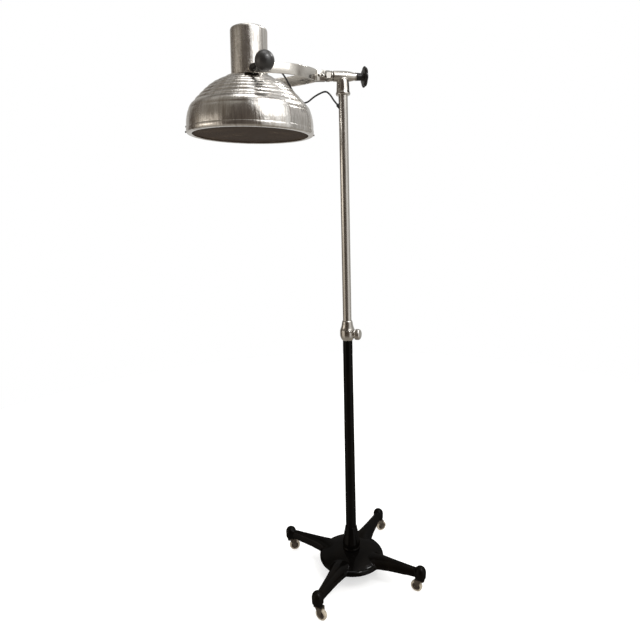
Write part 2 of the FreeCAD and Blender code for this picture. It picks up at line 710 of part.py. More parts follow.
def pivot_bolts():
    """Bolts through the ears and the arms, heads inside."""
    ear_in = ARM_OFFSET - ARM_T / 2.0 - EAR_GAP - EAR_T
    bolts = []
    for side, length in ((-1, 20.0), (1, 17.5)):
        head = turned((0, -4), line((5.4, -4), (6.1, -3), (6.1, 0), (BOLT_R, 0), (BOLT_R, length))
                      + line((0, length)))
        bolts.append(laid(head, HEAD_X, side * ear_in, PIVOT_Z, Y_AXIS * side))
    return group(bolts)


def far_nut():
    """Hexagon nut on the far pivot bolt."""
    nut = hexagon(13.0, 0, 6.5, BOLT_R)
    return laid(nut, HEAD_X, ARM_OFFSET + ARM_T / 2.0 + 2.0, PIVOT_Z, Y_AXIS)


def lever_axis():
    """Direction of the clamp lever, from the arm to the ball."""
    lean = math.radians(LEVER_LEAN)
    rise = math.radians(LEVER_RISE)
    return V(math.sin(lean) * math.cos(rise), -math.cos(lean) * math.cos(rise), math.sin(rise))


def lever_start():
    """Point on the pivot axis where the lever's neck begins to lean."""
    return V(HEAD_X, -(ARM_OFFSET + ARM_T / 2.0 + 8.0), PIVOT_Z)


def ball_centre():
    """Middle of the ball."""
    return lever_start() + lever_axis() * (BALL_REACH - 8.0)


def lever_neck():
    """Black hub and tapered neck of the tilt clamp lever."""
    y_hub = ARM_OFFSET + ARM_T / 2.0 + 2.0
    hub = rod(8.0, (HEAD_X, -y_hub, PIVOT_Z), Y_AXIS * -1, 10.0)
    start = lever_start()
    length = BALL_REACH - 8.0 - BALL_R + 1.0
    neck = turned((0, -2), line((7.4, -2), (7.4, 1), (5.6, length - 5), (6.6, length - 3), (6.6, length))
                  + line((0, length)))
    neck = laid(neck, start.x, start.y, start.z, lever_axis())
    bore = rod(BOLT_R + RUN, (HEAD_X, -y_hub + 1, PIVOT_Z), Y_AXIS * -1, 13.2)
    return hub.fuse(neck).cut(bore).cut(Part.makeSphere(BALL_R, ball_centre())).removeSplitter()


def ball_knob():
    """Black ball on the end of the lever."""
    return Part.makeSphere(BALL_R, ball_centre())


def rim_ring():
    """Rolled ring that holds the glass to the dome."""
    low = RIM_Z
    ring_body = head_turned((GLASS_OPENING_R, low + 1.2),
                            line((GLASS_OPENING_R + 1.2, low), (RIM_R - 6.5, low))
                            + arc((RIM_R - 1.5, low + 1.8), (RIM_R, low + 7))
                            + arc((RIM_R - 0.3, low + 11.5), (BAND_R + 0.4, low + 14))
                            + line((BAND_R, low + 14), (BAND_R, low + 4), (161, low + 4))
                            + line((161, low + 3.2), (GLASS_OPENING_R, low + 3.2)))
    return ring_body.cut(rim_screws())


def rim_screws():
    """Small dark screws of the rim's clips."""
    screws = []
    for angle, z in ((176, RIM_Z + 19), (176, RIM_Z + 6), (-4, RIM_Z + 6), (86, RIM_Z + 6)):
        way = heading(angle)
        start = BAND_R - 2 if z > RIM_Z + 14 else BAND_R + 0.5
        reach = 4.4 if z > RIM_Z + 14 else 3.4
        screws.append(rod(2.3, (HEAD_X + way.x * start, way.y * start, z), way, reach))
    return group(screws)


def filter_glass():
    """Flat filter disc in the rim."""
    low = RIM_Z + 3.2
    return head_turned((0, low), line((161, low), (161, low + 4), (0, low + 4)))


def glass_gasket():
    """Rubber ring between the glass and the reflector."""
    low = RIM_Z + 7.2
    return head_turned((151, low), line((161, low), (161, low + 3), (151, low + 3)))


def reflector():
    """Inner reflector bowl, seated on the gasket."""
    low = RIM_Z + 10.2
    return head_turned((158, low), line((161, low)) + arc((128, 1438), (46, 1489)) + line((45.4, 1487.6))
                       + arc((126.8, 1437), (158, low + 1.4)))


def lamp_socket():
    """Ceramic screw socket inside the housing."""
    return head_turned((13.6, 1502), line((22, 1502), (22, 1545)) + arc((20, 1552), (13, 1556))
                       + line((0, 1556), (0, 1532), (13.6, 1532)))


def socket_strap():
    """Strap that hangs the socket from the top of the housing."""
    top = HOUSING_TOP - SHELL_T
    bar = Part.makeBox(12, 50, 2, V(HEAD_X - 6, -25, top - 2))
    solid = bar
    for side in (-1, 1):
        y = 23 if side > 0 else -25
        solid = solid.fuse(Part.makeBox(12, 2, top - 1540, V(HEAD_X - 6, y, 1540)))
    return solid.removeSplitter()


def bulb_cap():
    """Threaded metal cap of the bulb."""
    return head_turned((0, 1496), line((12.5, 1496), (13.3, 1500), (13.3, 1522), (8, 1529), (0, 1530)))


def bulb_glass():
    """Round bulb envelope."""
    middle, radius = 1441.0, 37.0
    rise = radius * math.sin(math.radians(40))
    side = radius * math.cos(math.radians(40))
    return head_turned((0, 1496), line((12.5, 1496), (15.0, 1478))
                       + arc((19.5, 1470.5), (side, middle + rise))
                       + arc((radius, middle), (0, middle - radius)))


def cord_gland():
    """Rubber gland on the mast side of the housing."""
    start = HEAD_X + HOUSING_R
    plug = turned((0, -4), line((4.2, -4), (4.2, 2)) + line((6.2, 4.0), (4.2, GLAND_LEN), (0, GLAND_LEN)))
    flange = turned((0, -2), line((8.0, -2), (8.0, 3.0), (7.0, 4.0), (0, 4.0)))
    filled = head_turned((0, 1500), line((HOUSING_R, 1500), (HOUSING_R, 1600), (0, 1600)))
    flange = laid(flange, start, 0, GLAND_Z, X_AXIS).cut(filled)
    return laid(plug, start, 0, GLAND_Z, X_AXIS).fuse(flange).removeSplitter()


# ---- cord --------------------------------------------------------------
CORD_ROUTE = (
    (-188.93, 0.0, 1530.88),
    (-172.94, 0.0, 1530.32),
    (-158.0, 7.0, 1516.5),
    (-144.0, 19.0, 1497.5),
    (-129.0, 30.5, 1475.5),
    (-111.5, 42.5, 1454.5),
    (-91.0, 40.5, 1456.5),
    (-77.0, 29.0, 1468.0),
    (-61.5, 16.5, 1475.5),
    (-45.5, 7.0, 1480.5),
    (-34.0, 1.5, 1468.5),
    (-26.0, 0.0, 1454.3),
    (-16.97, 0.0, 1445.27),
)
LOWEST_RUN = 5              # the spans meet halfway along the run that starts here


def cord_edges():
    """Edges of the cord's middle line up to the lowest run's middle, and after it."""
    points = [V(*point) for point in CORD_ROUTE]
    halves = ([], [])
    edges = halves[0]
    start = points[0]
    for index in range(1, len(points) - 1):
        corner = points[index]
        back = points[index - 1] - corner
        ahead = points[index + 1] - corner
        turn = math.pi - back.getAngle(ahead)
        reach = 0.45 * min(back.Length, ahead.Length)
        radius = reach / math.tan(turn / 2.0)
        print("cord bend radius", round(radius, 1), "turn", round(math.degrees(turn), 1))
        back.normalize()
        ahead.normalize()
        enter = corner + back * reach
        leave = corner + ahead * reach
        inward = (back + ahead).normalize()
        depth = radius / math.cos(turn / 2.0) - radius
        if index == LOWEST_RUN + 1:
            meeting = (points[LOWEST_RUN] + corner) * 0.5
            edges.append(Part.LineSegment(start, meeting).toShape())
            edges = halves[1]
            start = meeting
        edges.append(Part.LineSegment(start, enter).toShape())
        edges.append(Part.Arc(enter, corner + inward * depth, leave).toShape())
        start = leave
    edges.append(Part.LineSegment(start, points[-1]).toShape())
    return halves


def cord_span(edges, label):
    """Tube along one half of the cord's middle line."""
    path = Part.Wire(edges)
    first = edges[0]
    way = first.tangentAt(first.FirstParameter)
    section = Part.Wire([Part.makeCircle(CORD_R, first.valueAt(first.FirstParameter), way)])
    tube = path.makePipeShell([section], True, False)
    expected = math.pi * CORD_R ** 2 * path.Length
    print(label, "length", round(path.Length, 1), "volume ratio", round(tube.Volume / expected, 4))
    return tube


# ---- output ------------------------------------------------------------
def sub_parts():
    """Every sub-part's name and solid."""
    head_edges, mast_edges = cord_edges()
    parts = {
        "base_casting": base_casting(),
        "hub_neck": hub_neck(),
        "column_tube": column_tube(),
        "column_nut": column_nut(),
        "column_washer": column_washer(),
        "caster_sleeves": caster_sleeves(),
        "collar_body": collar_body(),
        "collar_cap": collar_cap(),
        "guide_bush": guide_bush(),
        "clamp_pad": clamp_pad(),
        "collar_screw": collar_screw(),
        "collar_knob": collar_knob(),
        "mast_foot": mast_foot(),
        "mast_tube": mast_tube(),
        "mast_tee": mast_tee(),
        "mast_bushing": mast_bushing(),
        "yoke_spindle": yoke_spindle(),
        "fibre_washer": fibre_washer(),
        "thrust_ring": thrust_ring(),
        "yoke_nut": yoke_nut(),
        "end_washer": end_washer(),
        "yoke_arm_near": yoke_arm(-1),
        "yoke_arm_far": yoke_arm(1),
        "yoke_rivets": yoke_rivets(),
        "arm_washers": arm_washers(),
        "star_knob": star_knob(),
        "lever_neck": lever_neck(),
        "ball_knob": ball_knob(),
        "cord_head_span": cord_span(head_edges, "cord_head_span"),
        "cord_mast_span": cord_span(mast_edges, "cord_mast_span"),
    }
    head = {
        "socket_housing": socket_housing(),
        "dome_shell": dome_shell(),
        "tilt_bracket": tilt_bracket(),
        "bracket_screws": bracket_screws(),
        "top_screws": top_screws(),
        "pivot_bolts": pivot_bolts(),
        "far_nut": far_nut(),
        "rim_ring": rim_ring(),
        "rim_screws": rim_screws(),
        "filter_glass": filter_glass(),
        "glass_gasket": glass_gasket(),
        "reflector": reflector(),
        "lamp_socket": lamp_socket(),
        "socket_strap": socket_strap(),
        "bulb_cap": bulb_cap(),
        "bulb_glass": bulb_glass(),
        "cord_gland": cord_gland(),
    }
    for name, solid in head.items():
        parts[name] = leaned(solid)
    for index in range(LEG_COUNT):
        number = str(index + 1)
        parts["caster_fork_" + number] = caster_place(caster_fork(), index)
        parts["caster_axle_" + number] = caster_place(caster_axle(), index)
        parts["caster_wheel_" + number] = caster_place(caster_wheel(), index)
    return parts


os.makedirs("parts", exist_ok=True)
for name, solid in sub_parts().items():
    if not solid.isValid():
        print("not valid:", name)
    solid.exportStep("parts/" + name + ".step")
    print(name, len(solid.Solids), round(solid.Volume))
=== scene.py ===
"""Surgical light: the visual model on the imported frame, in metres, +Z up."""
import json
import math

import bmesh
import bpy
from mathutils import Matrix, Vector, noise


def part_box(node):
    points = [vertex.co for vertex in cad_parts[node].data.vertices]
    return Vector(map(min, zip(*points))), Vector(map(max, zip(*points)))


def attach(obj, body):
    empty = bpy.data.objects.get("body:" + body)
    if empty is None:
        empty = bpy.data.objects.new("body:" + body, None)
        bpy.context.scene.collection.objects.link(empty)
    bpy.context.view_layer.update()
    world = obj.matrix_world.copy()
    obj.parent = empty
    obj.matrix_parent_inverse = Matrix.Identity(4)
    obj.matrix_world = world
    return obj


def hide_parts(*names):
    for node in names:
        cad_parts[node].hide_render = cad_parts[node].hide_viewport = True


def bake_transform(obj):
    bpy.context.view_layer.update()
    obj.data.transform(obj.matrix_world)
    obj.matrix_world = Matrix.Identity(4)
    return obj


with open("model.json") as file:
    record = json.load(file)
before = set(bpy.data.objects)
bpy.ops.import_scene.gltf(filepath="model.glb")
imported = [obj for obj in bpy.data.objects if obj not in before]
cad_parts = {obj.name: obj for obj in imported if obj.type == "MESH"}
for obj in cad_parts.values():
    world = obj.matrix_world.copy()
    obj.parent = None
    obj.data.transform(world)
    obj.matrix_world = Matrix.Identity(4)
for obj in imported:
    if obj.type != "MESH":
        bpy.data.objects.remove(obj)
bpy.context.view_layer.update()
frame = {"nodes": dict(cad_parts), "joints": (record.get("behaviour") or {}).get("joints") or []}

MM = 0.001
NODES = frame["nodes"]
JOINTS = {joint["name"]: joint for joint in frame["joints"]}
PIVOT = Vector(JOINTS["head_tilt"]["pos_m"])
FORK_Z = JOINTS["fork_roll"]["pos_m"][2]
HEAD_LEAN = 2.0              # degrees that the top of the head leans to the mast
LEG_COUNT = 4
COLUMN_R = 14.3              # millimetres, above the column's taper


# ---- shared helpers ----------------------------------------------------
def placed(name, data):
    """Object that holds data, linked to the scene."""
    thing = bpy.data.objects.new(name, data)
    bpy.context.scene.collection.objects.link(thing)
    return thing


def add_node(tree, kind, inputs=None, **settings):
    """Shader node whose inputs are sockets to link or plain values."""
    node = tree.nodes.new("ShaderNode" + kind)
    for key, value in settings.items():
        setattr(node, key, value)
    for key, value in (inputs or {}).items():
        if isinstance(value, bpy.types.NodeSocket):
            tree.links.new(value, node.inputs[key])
        else:
            node.inputs[key].default_value = value
    return node


# ---- camera ------------------------------------------------------------
CAMERA_DISTANCE = 1.496      # metres from the column's axis
CAMERA_SIDE = 255.0          # degrees from +X, seen from above
CAMERA_HEIGHT = 1.168
CAMERA_HEADING = 78.1        # degrees from +X that the camera looks towards
CAMERA_PITCH = 12.14         # degrees below the horizon
CAMERA_ROLL = -1.72
CAMERA_LENS = 28.94          # mm on a 36 mm sensor


def add_camera():
    """Camera at the viewing angle of the object's front view."""
    side = math.radians(CAMERA_SIDE)
    way = math.radians(CAMERA_HEADING)
    pitch = math.radians(CAMERA_PITCH)
    roll = math.radians(CAMERA_ROLL)
    ahead = Vector((math.cos(way) * math.cos(pitch), math.sin(way) * math.cos(pitch), -math.sin(pitch)))
    right = Vector((math.sin(way), -math.cos(way), 0))
    up = right.cross(ahead)
    right_rolled = right * math.cos(roll) + up * math.sin(roll)
    up_rolled = up * math.cos(roll) - right * math.sin(roll)
    spot = Vector((math.cos(side) * CAMERA_DISTANCE, math.sin(side) * CAMERA_DISTANCE, CAMERA_HEIGHT))
    data = bpy.data.cameras.new("camera")
    data.lens = CAMERA_LENS
    data.sensor_width = 36
    camera = placed("camera", data)
    turn = Matrix((right_rolled, up_rolled, -ahead)).transposed()
    camera.matrix_world = Matrix.Translation(spot) @ turn.to_4x4()
    bpy.context.scene.camera = camera


add_camera()


# ---- materials ---------------------------------------------------------
class Shader:
    """A material whose nodes are added by short calls."""

    def __init__(self, name, **sockets):
        self.material = bpy.data.materials.new(name)
        self.material.use_nodes = True
        self.tree = self.material.node_tree
        self.surface = self.tree.nodes["Principled BSDF"]
        for socket, value in sockets.items():
            self.surface.inputs[socket.replace("_", " ")].default_value = value

    def add(self, kind, inputs=None, **settings):
        return add_node(self.tree, kind, inputs, **settings)

    def place(self, scale=(1, 1, 1), centre=(0, 0, 0)):
        """Object coordinates about a centre, stretched."""
        seat = self.add("TexCoord")
        moved = self.add("VectorMath", {0: seat.outputs["Object"], 1: centre}, operation="SUBTRACT")
        grown = self.add("VectorMath", {0: moved.outputs[0], 1: scale}, operation="MULTIPLY")
        return grown.outputs[0]

    def polar(self, centre, scale):
        """Angle about Z, radius and height as one vector, each scaled."""
        parts = self.add("SeparateXYZ", {0: self.place(centre=centre)})
        x, y, z = parts.outputs
        angle = self.math("ARCTAN2", y, x)
        squares = [self.math("MULTIPLY", value, value) for value in (x, y)]
        radius = self.math("SQRT", self.math("ADD", *squares))
        scaled = [self.math("MULTIPLY", value, by) for value, by in zip((angle, radius, z), scale)]
        return self.add("CombineXYZ", dict(enumerate(scaled))).outputs[0]

    def math(self, operation, a, b=0.0):
        return self.add("Math", {0: a, 1: b}, operation=operation).outputs[0]

    def noise(self, where, detail=4.0, rough=0.55):
        inputs = {"Vector": where, "Scale": 1.0, "Detail": detail, "Roughness": rough}
        return self.add("TexNoise", inputs).outputs["Fac"]

    def spread(self, factor, low, high, start=0.3, end=0.7):
        """Values from low to high while the factor goes from start to end."""
        return self.add("MapRange", {0: factor, 1: start, 2: end, 3: low, 4: high}).outputs[0]

    def mix(self, factor, a, b):
        """Colour between a and b, each a socket or three numbers."""
        a, b = ((*value, 1) if isinstance(value, tuple) else value for value in (a, b))
        return self.add("Mix", {0: factor, 6: a, 7: b}, data_type="RGBA").outputs[2]

    def bump(self, height, distance, strength=1.0, under=None):
        inputs = {"Height": height, "Distance": distance, "Strength": strength}
        if under is not None:
            inputs["Normal"] = under
        return self.add("Bump", inputs).outputs["Normal"]

    def out(self, **sockets):
        for socket, value in sockets.items():
            self.tree.links.new(value, self.surface.inputs[socket.replace("_", " ")])
        return self.material


def plated(name, bright, tarnish, stretch, rough, wear=0.5):
    """Old polished plating: streaks of tarnish, hazy patches and fine scratches."""
    shader = Shader(name, Metallic=1.0)
    streaks = shader.noise(shader.place(stretch), 6.0, 0.6)
    patches = shader.noise(shader.place((14, 14, 9)), 5.0, 0.6)
    colour = shader.mix(shader.spread(streaks, 0.0, wear), bright, tarnish)
    colour = shader.mix(shader.spread(patches, 0.0, wear * 0.7, 0.48, 0.75), colour, tarnish)
    scratches = shader.noise(shader.place(tuple(9 * value for value in stretch)), 2.0)
    haze = shader.spread(patches, rough, rough * 2.1, 0.35, 0.75)
    normal = shader.bump(scratches, 0.00003)
    normal = shader.bump(patches, 0.0005, 0.5, normal)
    return shader.out(Base_Color=colour, Roughness=haze, Normal=normal)


def spun_metal(name, centre):
    """Polished spun aluminium: turning marks, vertical stains and shallow dents."""
    shader = Shader(name, Metallic=1.0)
    rings = shader.noise(shader.polar(centre, (0.6, 900, 900)), 3.0)
    stains = shader.noise(shader.polar(centre, (9.0, 3, 10)), 6.0, 0.68)
    drips = shader.noise(shader.polar(centre, (26.0, 4, 16)), 4.0, 0.6)
    patches = shader.noise(shader.place((11, 11, 11)), 5.0, 0.62)
    stained = shader.spread(stains, 0.0, 0.85, 0.42, 0.72)
    colour = shader.mix(stained, (0.74, 0.725, 0.70), (0.42, 0.375, 0.325))
    colour = shader.mix(shader.spread(drips, 0.0, 0.55, 0.52, 0.75), colour, (0.27, 0.225, 0.185))
    haze = shader.spread(patches, 0.17, 0.32, 0.35, 0.7)
    normal = shader.bump(rings, 0.00004)
    normal = shader.bump(drips, 0.0012, 0.35, normal)
    normal = shader.bump(patches, 0.004, 0.45, normal)
    return shader.out(Base_Color=colour, Roughness=haze, Normal=normal)


def enamel(name, rough):
    """Gloss black enamel with brown scuffs and a faint brush texture."""
    shader = Shader(name, Specular_IOR_Level=0.0, Coat_Weight=0.06, Coat_IOR=2.2, Coat_Roughness=0.1)
    patches = shader.noise(shader.place((9, 9, 9)), 6.0, 0.65)
    chips = shader.noise(shader.place((70, 70, 70)), 5.0, 0.7)
    scuffed = shader.spread(patches, 0.0, 1.0, 0.45, 0.75)
    colour = shader.mix(scuffed, (0.0016, 0.0014, 0.0012), (0.0045, 0.0034, 0.0024))
    colour = shader.mix(shader.spread(chips, 0.0, 0.5, 0.68, 0.8), colour, (0.06, 0.042, 0.03))
    haze = shader.spread(patches, rough, rough + 0.16, 0.35, 0.7)
    normal = shader.bump(chips, 0.0002, 0.35)
    normal = shader.bump(patches, 0.002, 0.25, normal)
    return shader.out(Base_Color=colour, Roughness=haze, Normal=normal)


def moulded(name, base, scuff, rough, grain=60.0, gloss=0.5):
    """Moulded plastic, rubber or fibre: mottled, with a dusty bloom."""
    shader = Shader(name, Specular_IOR_Level=gloss)
    patches = shader.noise(shader.place((grain, grain, grain)), 6.0, 0.65)
    fine = shader.noise(shader.place((grain * 12, grain * 12, grain * 12)), 2.0)
    colour = shader.mix(shader.spread(patches, 0.0, 1.0, 0.42, 0.72), base, scuff)
    haze = shader.spread(patches, rough, rough + 0.14, 0.35, 0.7)
    return shader.out(Base_Color=colour, Roughness=haze, Normal=shader.bump(fine, 0.00004, 0.6))


def filter_glass(name, centre):
    """Brown heat filter with faint pressed rings."""
    shader = Shader(name, Transmission_Weight=0.1, IOR=1.2, Specular_IOR_Level=0.0)
    spot = shader.polar(centre, (0, 1, 0))
    radius = shader.add("SeparateXYZ", {0: spot}).outputs[1]
    wave = shader.math("SINE", shader.math("MULTIPLY", radius, 900.0))
    smudges = shader.noise(shader.place((16, 16, 16)), 5.0, 0.6)
    pressed = shader.spread(wave, 0.0, 0.35, -1.0, 1.0)
    colour = shader.mix(pressed, (0.032, 0.021, 0.014), (0.052, 0.036, 0.025))
    colour = shader.mix(shader.spread(smudges, 0.0, 0.5, 0.5, 0.75), colour, (0.085, 0.064, 0.047))
    haze = shader.spread(smudges, 0.12, 0.3, 0.35, 0.7)
    return shader.out(Base_Color=colour, Roughness=haze, Normal=shader.bump(wave, 0.0001, 0.5))


def clouded(name, colour_a, colour_b, rough, metallic=0.0, scale=40.0):
    """Plain hard material with cloudy variation."""
    shader = Shader(name, Metallic=metallic)
    patches = shader.noise(shader.place((scale, scale, scale)), 5.0, 0.6)
    colour = shader.mix(shader.spread(patches, 0.0, 1.0, 0.35, 0.7), colour_a, colour_b)
    haze = shader.spread(patches, rough, rough * 1.5, 0.35, 0.7)
    return shader.out(Base_Color=colour, Roughness=haze, Normal=shader.bump(patches, 0.0004, 0.3))


NICKEL = (0.68, 0.665, 0.635)
TARNISH = (0.38, 0.335, 0.28)
BLACK = (0.004, 0.0038, 0.0035)
MATERIALS = {
    "tube": plated("nickel_tube", NICKEL, TARNISH, (60, 60, 2.2), 0.17, 0.45),
    "arm": plated("nickel_arm", (0.72, 0.70, 0.66), TARNISH, (4, 30, 30), 0.13, 0.3),
    "chrome": plated("nickel_cast", NICKEL, TARNISH, (26, 26, 18), 0.12, 0.55),
    "spun": spun_metal("spun_aluminium", tuple(PIVOT)),
    "enamel": enamel("black_enamel", 0.3),
    "enamel_tube": enamel("black_enamel_tube", 0.2),
    "bakelite": moulded("black_phenolic", BLACK, (0.012, 0.010, 0.008), 0.3, 30.0, 0.35),
    "ball": moulded("satin_ball", (0.008, 0.0075, 0.007), (0.016, 0.014, 0.012), 0.32, 30.0, 0.8),
    "glass": filter_glass("brown_filter", tuple(PIVOT)),
    "bulb": clouded("frosted_bulb", (0.86, 0.85, 0.82), (0.72, 0.71, 0.68), 0.3),
    "ceramic": clouded("glazed_ceramic", (0.74, 0.72, 0.66), (0.6, 0.57, 0.5), 0.18),
    "brass": clouded("dull_brass", (0.52, 0.38, 0.17), (0.35, 0.25, 0.12), 0.3, 1.0),
    "steel": clouded("dark_steel", (0.20, 0.175, 0.15), (0.09, 0.075, 0.06), 0.3, 1.0, 90.0),
    "rubber": moulded("black_rubber", (0.010, 0.010, 0.010), (0.02, 0.019, 0.018), 0.34, 80.0),
    "fibre": moulded("dark_fibre", (0.03, 0.022, 0.016), (0.05, 0.038, 0.028), 0.6, 200.0),
    "ivory": moulded("ivory_tyre", (0.40, 0.35, 0.27), (0.16, 0.12, 0.08), 0.5, 110.0),
    "wheel_hub": moulded("brown_hub", (0.045, 0.026, 0.015), (0.018, 0.011, 0.007), 0.5, 110.0),
    "reflector": clouded("brushed_reflector", (0.84, 0.83, 0.81), (0.7, 0.68, 0.64), 0.22, 1.0, 25.0),
}


# ---- mesh tools --------------------------------------------------------
def rounded(corners, steps=5):
    """Profile with softened corners; a corner is (radius, height) or (radius, height, softness)."""
    path = []
    for index, corner in enumerate(corners):
        here = Vector(corner[:2])
        if len(corner) < 3 or index in (0, len(corners) - 1):
            path.append(here)
            continue
        back = Vector(corners[index - 1][:2]) - here
        ahead = Vector(corners[index + 1][:2]) - here
        enter = here + back.normalized() * min(corner[2], back.length * 0.48)
        leave = here + ahead.normalized() * min(corner[2], ahead.length * 0.48)
        for step in range(steps + 1):
            t = step / steps
            path.append(enter * (1 - t) ** 2 + here * 2 * t * (1 - t) + leave * t ** 2)
    return path


def bowed(start, end, bulge, steps=6):
    """Points of a shallow arc from start to end, without the start, bulging to the left."""
    a, b = Vector(start), Vector(end)
    way = b - a
    side = Vector((-way.y, way.x)).normalized()
    parts = [step / steps for step in range(1, steps + 1)]
    return [a + way * part + side * bulge * 4 * part * (1 - part) for part in parts]


def divided(path, longest, parts):
    """The path with each run over the longest length cut into equal parts."""
    points = []
    for a, b in zip(path, path[1:]):
        points.append(a)
        if (b - a).length > longest:
            points += [a.lerp(b, part / parts) for part in range(1, parts)]
    return points + [path[-1]]


def lathe_mesh(path, count=96, axis=(0, 0, 1), spot=(0, 0, 0), swell=None):
    """Bmesh of a profile in millimetres turned about an axis through a spot in metres."""
    mesh = bmesh.new()
    turn = Vector((0, 0, 1)).rotation_difference(Vector(axis)).to_matrix()
    rings = []
    for index, (radius, height) in enumerate(path):
        if radius < 1e-4:
            rings.append([mesh.verts.new(turn @ Vector((0, 0, height * MM)) + Vector(spot))])
            continue
        ring = []
        for step in range(count):
            angle = math.tau * step / count
            r = radius * (swell(angle, index) if swell else 1.0)
            local = Vector((math.cos(angle) * r, math.sin(angle) * r, height)) * MM
            ring.append(mesh.verts.new(turn @ local + Vector(spot)))
        rings.append(ring)
    pairs = list(zip(rings, rings[1:]))
    if (Vector(path[0]) - Vector(path[-1])).length > 1e-6 and len(rings[0]) > 1 and len(rings[-1]) > 1:
        pairs.append((rings[-1], rings[0]))
    for low, high in pairs:
        for step in range(count):
            after = (step + 1) % count
            if len(low) == 1:
                mesh.faces.new((low[0], high[after], high[step]))
            elif len(high) == 1:
                mesh.faces.new((low[step], low[after], high[0]))
            else:
                mesh.faces.new((low[step], low[after], high[after], high[step]))
    bmesh.ops.recalc_face_normals(mesh, faces=mesh.faces)
    return mesh


def grid_mesh(rings):
    """Bmesh skinned over closed rings of points, with flat ends."""
    mesh = bmesh.new()
    rows = [[mesh.verts.new(point) for point in ring] for ring in rings]
    count = len(rows[0])
    for low, high in zip(rows, rows[1:]):
        for step in range(count):
            after = (step + 1) % count
            mesh.faces.new((low[step], low[after], high[after], high[step]))
    mesh.faces.new(rows[0])
    mesh.faces.new(rows[-1])
    bmesh.ops.recalc_face_normals(mesh, faces=mesh.faces)
    return mesh


def make(name, mesh, sharp=38.0):
    """Object from a bmesh, smooth but for its sharp edges."""
    data = bpy.data.meshes.new(name)
    mesh.to_mesh(data)
    mesh.free()
    data.shade_smooth()
    data.set_sharp_from_angle(angle=math.radians(sharp))
    return placed(name, data)


def merged(meshes):
    """One bmesh that holds several, which are freed."""
    whole = bmesh.new()
    for mesh in meshes:
        data = bpy.data.meshes.new("part")
        mesh.to_mesh(data)
        mesh.free()
        whole.from_mesh(data)
        bpy.data.meshes.remove(data)
    return whole


def cast(name, meshes, voxel, smoothing):
    """One casting from overlapping meshes: remeshed, and its inner corners filled by smoothing."""
    lump = make("lump", merged(meshes))
    remesh = lump.modifiers.new("remesh", "REMESH")
    remesh.mode = "VOXEL"
    remesh.voxel_size = voxel
    smooth = lump.modifiers.new("smooth", "SMOOTH")
    smooth.factor = 0.5
    smooth.iterations = smoothing
    bpy.context.view_layer.update()
    ready = lump.evaluated_get(bpy.context.evaluated_depsgraph_get())
    data = bpy.data.meshes.new_from_object(ready)
    bpy.data.objects.remove(lump)
    data.name = name
    data.shade_smooth()
    return placed(name, data)


def dress(piece, body, material, slot, *nodes):
    """Gives a piece its finish and its body, and hides the CAD nodes it stands for."""
    piece.data.materials.clear()
    for name in material if isinstance(material, tuple) else (material,):
        piece.data.materials.append(MATERIALS[name])
    if body:
        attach(piece, body)
    if nodes:
        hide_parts(*nodes)
    return piece


def lean(piece):
    """Leans a part of the head about the pivots."""
    turn = Matrix.Rotation(math.radians(HEAD_LEAN), 4, "Y")
    piece.data.transform(Matrix.Translation(PIVOT) @ turn @ Matrix.Translation(-PIVOT))
    return piece


def size(node):
    """Corners of a CAD node in millimetres."""
    low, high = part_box(node)
    return low / MM, high / MM


# ---- cord --------------------------------------------------------------
CORD_DIAMETER = 0.0046
# metres, from the gland at the housing to the bushing in the mast
CORD_ROUTE = (
    (-0.18893, 0.0, 1.53088),
    (-0.17294, 0.0, 1.53032),
    (-0.158, 0.007, 1.5165),
    (-0.144, 0.019, 1.4975),
    (-0.129, 0.0305, 1.4755),
    (-0.1115, 0.0425, 1.4545),
    (-0.091, 0.0405, 1.4565),
    (-0.077, 0.029, 1.468),
    (-0.0615, 0.0165, 1.4755),
    (-0.0455, 0.007, 1.4805),
    (-0.034, 0.0015, 1.4685),
    (-0.026, 0.0, 1.4543),
    (-0.01697, 0.0, 1.44527),
)
LOWEST_RUN = 5               # the spans meet halfway along the run that starts here


def cord_line():
    """Points along the smooth line of the route."""
    curve = bpy.data.curves.new("route", "CURVE")
    curve.dimensions = "3D"
    curve.resolution_u = 16
    spline = curve.splines.new("NURBS")
    spline.points.add(len(CORD_ROUTE) - 1)
    for point, place in zip(spline.points, CORD_ROUTE):
        point.co = (*place, 1)
    spline.order_u = 3
    spline.use_endpoint_u = True
    route = placed("route", curve)
    bpy.context.view_layer.update()
    ready = route.evaluated_get(bpy.context.evaluated_depsgraph_get())
    data = bpy.data.meshes.new_from_object(ready)
    points = [vertex.co.copy() for vertex in data.vertices]
    bpy.data.objects.remove(route)
    return points


def tube_mesh(points, radius, count=20):
    """Round tube that follows points."""
    rings = []
    normal = Vector((0, 1, 0))
    turns = [math.tau * step / count for step in range(count)]
    for index, point in enumerate(points):
        ahead = points[min(index + 1, len(points) - 1)] - points[max(index - 1, 0)]
        ahead.normalize()
        normal = (normal - ahead * normal.dot(ahead)).normalized()
        side = ahead.cross(normal)
        rings.append([point + (normal * math.cos(turn) + side * math.sin(turn)) * radius for turn in turns])
    return grid_mesh(rings)


def add_cord():
    points = cord_line()
    middle = (Vector(CORD_ROUTE[LOWEST_RUN]) + Vector(CORD_ROUTE[LOWEST_RUN + 1])) / 2
    split = min(range(len(points)), key=lambda index: (points[index] - middle).length)
    spans = (("cord_head_side", points[:split + 1], "head", "yoke", "cord_head_span"),
             ("cord_mast_side", points[split:], "yoke", "mast", "cord_mast_span"))
    for name, line, first, second, node in spans:
        piece = make(name, tube_mesh(line, CORD_DIAMETER / 2), 60)
        dress(piece, None, "rubber", "black_rubber", node)
        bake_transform(piece)


add_cord()


